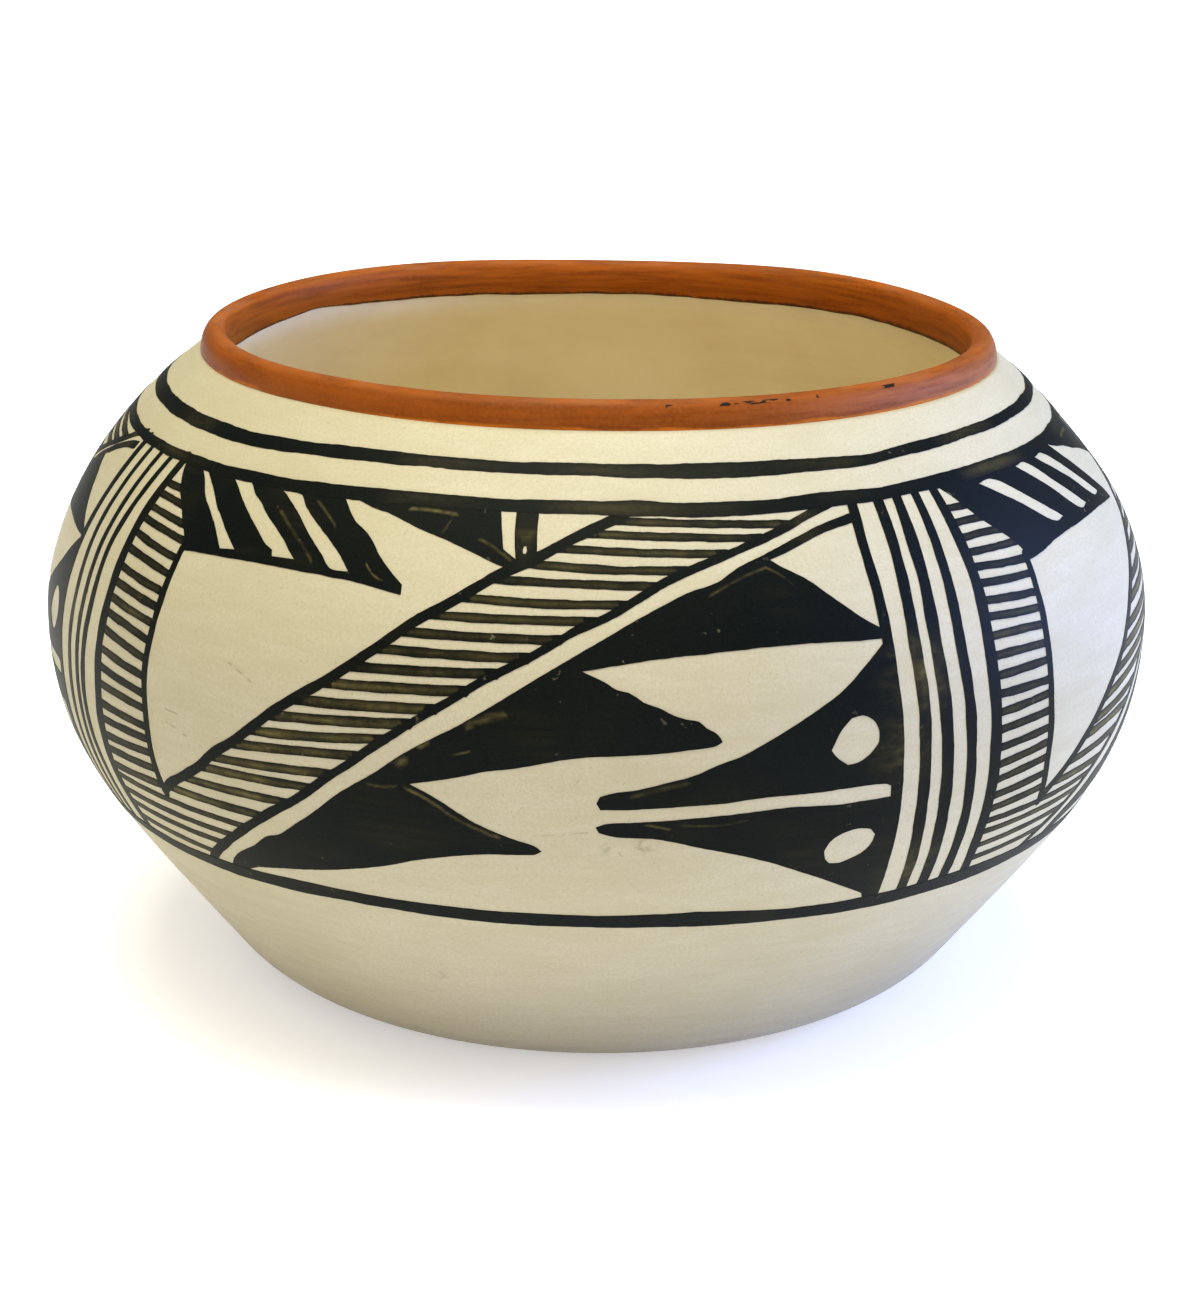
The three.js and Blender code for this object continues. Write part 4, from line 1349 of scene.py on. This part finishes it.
ringLines = {
    "steps": 1440,
    "lift": 0.03 * mm,
    "noiseRadius": 90,
    "wander": [(0.16, 0.12), (0.07, 0.6)],  # mm and pace, of each edge
    "seeds": (Vector((0, 0, 0)), Vector((9, 9, 9))),  # of the lower and the upper edge
    "thin": (0.15, 0.5, 0.2, 0.05, 0.02),  # where it starts, middle, edge, pace round and upwards
    "lines": [  # angle, lower edge, upper edge
        ("neckLine", "neck_line", [
            (-180, 110.2, 111.9), (-140, 110.4, 112.0), (-90, 109.7, 111.5), (-45, 109.4, 111.2), (-30, 110.3, 111.9),
            (-20, 110.5, 112.0), (0, 110.5, 112.0), (5, 110.2, 112.0), (20, 110.0, 111.9), (34, 110.0, 111.3),
            (40, 110.4, 111.8), (50, 110.7, 112.0), (70, 110.7, 112.0), (110, 110.3, 111.9), (150, 109.9, 111.6),
        ]),
        ("bandTopLine", "band_top_line", [
            (-180, 105.1, 106.9), (-130, 105.3, 107.0), (-70, 104.8, 106.1), (-45, 104.8, 106.3), (-35, 105.0, 106.6),
            (-25, 105.2, 107.0), (-20, 105.5, 107.2), (0, 105.5, 107.2), (4, 105.3, 107.4), (10, 105.1, 106.9),
            (20, 105.1, 106.9), (25, 105.2, 107.2), (33, 105.3, 106.9), (40, 105.4, 107.2), (50, 105.5, 107.4),
            (65, 105.4, 107.1), (110, 105.2, 107.0), (150, 105.4, 107.2),
        ]),
        ("bandBottomLine", "band_bottom_line", [
            (-180, 38.7, 41.2), (-120, 38.9, 41.5), (-70, 38.5, 40.8), (-50, 38.6, 40.7), (-40, 38.7, 41.2),
            (-30, 39.3, 41.9), (-25, 39.6, 41.8), (-10, 39.0, 41.7), (0, 39.0, 41.5), (10, 38.7, 41.9),
            (20, 38.4, 40.8), (25, 38.0, 40.6), (40, 38.1, 41.2), (50, 38.2, 41.1), (90, 38.6, 41.3), (140, 38.9, 41.4),
        ]),
    ],
}


def ringEdge(edges, which, angle, around):
    # height of the lower edge, 1, or of the upper one, 2, with a hand's wander
    height = follow(edges, angle, 0, which)
    for size, pace in ringLines["wander"]:
        height += size * noise.noise(around * pace + ringLines["seeds"][which - 1])
    return height


def layRing(name, node, edges):
    thinFrom, thinMiddle, thinEdge, pace, rise = ringLines["thin"]
    lift = brush["coat"] - brush["sink"] + ringLines["lift"]
    edges = [*edges, (180, *edges[0][1:])]
    bpy.ops.mesh.primitive_grid_add(x_subdivisions=ringLines["steps"], y_subdivisions=3, size=1)
    ring = bpy.context.object
    ring.name = name
    wash = ring.data.attributes.new("wash", "FLOAT", "POINT")
    for vertex in ring.data.vertices:
        angle, share = vertex.co.x * 360, vertex.co.y + 0.5
        turn = math.radians(angle)
        around = Vector((math.sin(turn), -math.cos(turn), 0)) * ringLines["noiseRadius"]
        low, high = (ringEdge(edges, which, angle, around) for which in (1, 2))
        height = low + (high - low) * share
        thin = noise.noise(around * pace + Vector((0, 0, 5 + height * rise)))
        wash.data[vertex.index].value = max(0, thin - thinFrom) * (thinMiddle if 0.1 < share < 0.9 else thinEdge)
        vertex.co = touched(onWall(flat((angle, height)), lift))
    finishFilm(ring, node, blackAlong, brush["coat"] + ringLines["lift"])


for lineName, lineNode, lineEdges in ringLines["lines"]:
    layRing(lineName, lineNode, lineEdges)
print("lines painted")
for panelSide, sidePanel, panelSeed in (
    ("front", frontPanel, 100.0), ("right", rightPanel, 300.0), ("back", backPanel, 500.0), ("left", leftPanel, 700.0),
):
    layPanel(panelSide, sidePanel, panelSeed)
    print(panelSide, "panel painted")


# floor, lamps and background

studio = {
    "world": 0.22,
    "worldColour": (1.0, 0.98, 0.93),
    "lamps": [  # name, place, size, watts, colour
        ("lampTop", (0.0, -0.15, 1.4), 1.0, 21.3, (0.97, 1.0, 0.77)),
        ("lampLeft", (-0.45, -0.25, 1.3), 1.0, 5.7, (1.0, 0.84, 0.71)),
        ("lampSide", (1.3, 0.1, 0.35), 0.9, 29.7, (0.29, 0.43, 1.0)),
        ("lampFront", (0.1, -1.45, 0.55), 0.9, 4.9, (1.0, 0.88, 0.85)),
    ],
    "aim": (0, 0, 0.06),
    "floorSize": 12.0,
    "floorColour": (0.93, 0.93, 0.93, 1),
    "floorRoughness": 0.9,
    "floorGlow": 0.45,
    "glowReach": (0.12, 0.7),  # from the bowl, where the floor starts to turn pure white and where it is
    "white": (1, 1, 1, 1),
}


def seenBy(tree, *rays):
    # 1 where one of these kinds of ray arrives
    path = addNode(tree, "LightPath")
    seen = path.outputs[f"Is {rays[0]} Ray"]
    for ray in rays[1:]:
        seen = maths(tree, "MAXIMUM", seen, path.outputs[f"Is {ray} Ray"])
    return seen


def makeFloor():
    bpy.ops.mesh.primitive_plane_add(size=studio["floorSize"], location=(0, 0, 0))
    floor = bpy.context.object
    floor.name = "floor"
    look, tree, shader = newTree("floorLook")
    away = addNode(tree, "VectorMath", {0: objectPlace(tree)}, operation="LENGTH").outputs["Value"]
    glow = ramp(tree, away, *studio["glowReach"], studio["floorGlow"], 1.0)
    for socket, value in {
        "Base Color": studio["floorColour"],
        "Roughness": studio["floorRoughness"],
        "Specular IOR Level": 0.0,
        "Emission Strength": times(tree, seenBy(tree, "Camera", "Glossy", "Transmission"), glow),
        "Emission Color": studio["white"],
    }.items():
        feed(tree, shader.inputs[socket], value)
    floor.data.materials.append(look)


def makeWorld():
    world = bpy.data.worlds.new("studioWorld")
    world.use_nodes = True
    tree = world.node_tree
    light = tree.nodes["Background"]
    seen = seenBy(tree, "Camera", "Transmission")
    feed(tree, light.inputs["Color"], mixColour(tree, seen, (*studio["worldColour"], 1), studio["white"]))
    strength = addNode(tree, "MapRange", {"Value": seen, "To Min": studio["world"], "To Max": 1.0})
    feed(tree, light.inputs["Strength"], strength.outputs["Result"])
    bpy.context.scene.world = world


def makeLamps():
    for name, place, size, watts, colour in studio["lamps"]:
        bpy.ops.object.light_add(type="AREA", location=place)
        lamp = bpy.context.object
        lamp.name = name
        lamp.data.size = size
        lamp.data.energy = watts
        lamp.data.color = colour
        way = Vector(studio["aim"]) - Vector(place)
        lamp.rotation_euler = way.to_track_quat("-Z", "Y").to_euler()


makeFloor()
makeWorld()
makeLamps()
bpy.context.scene.view_settings.view_transform = "Standard"
print("studio ready")
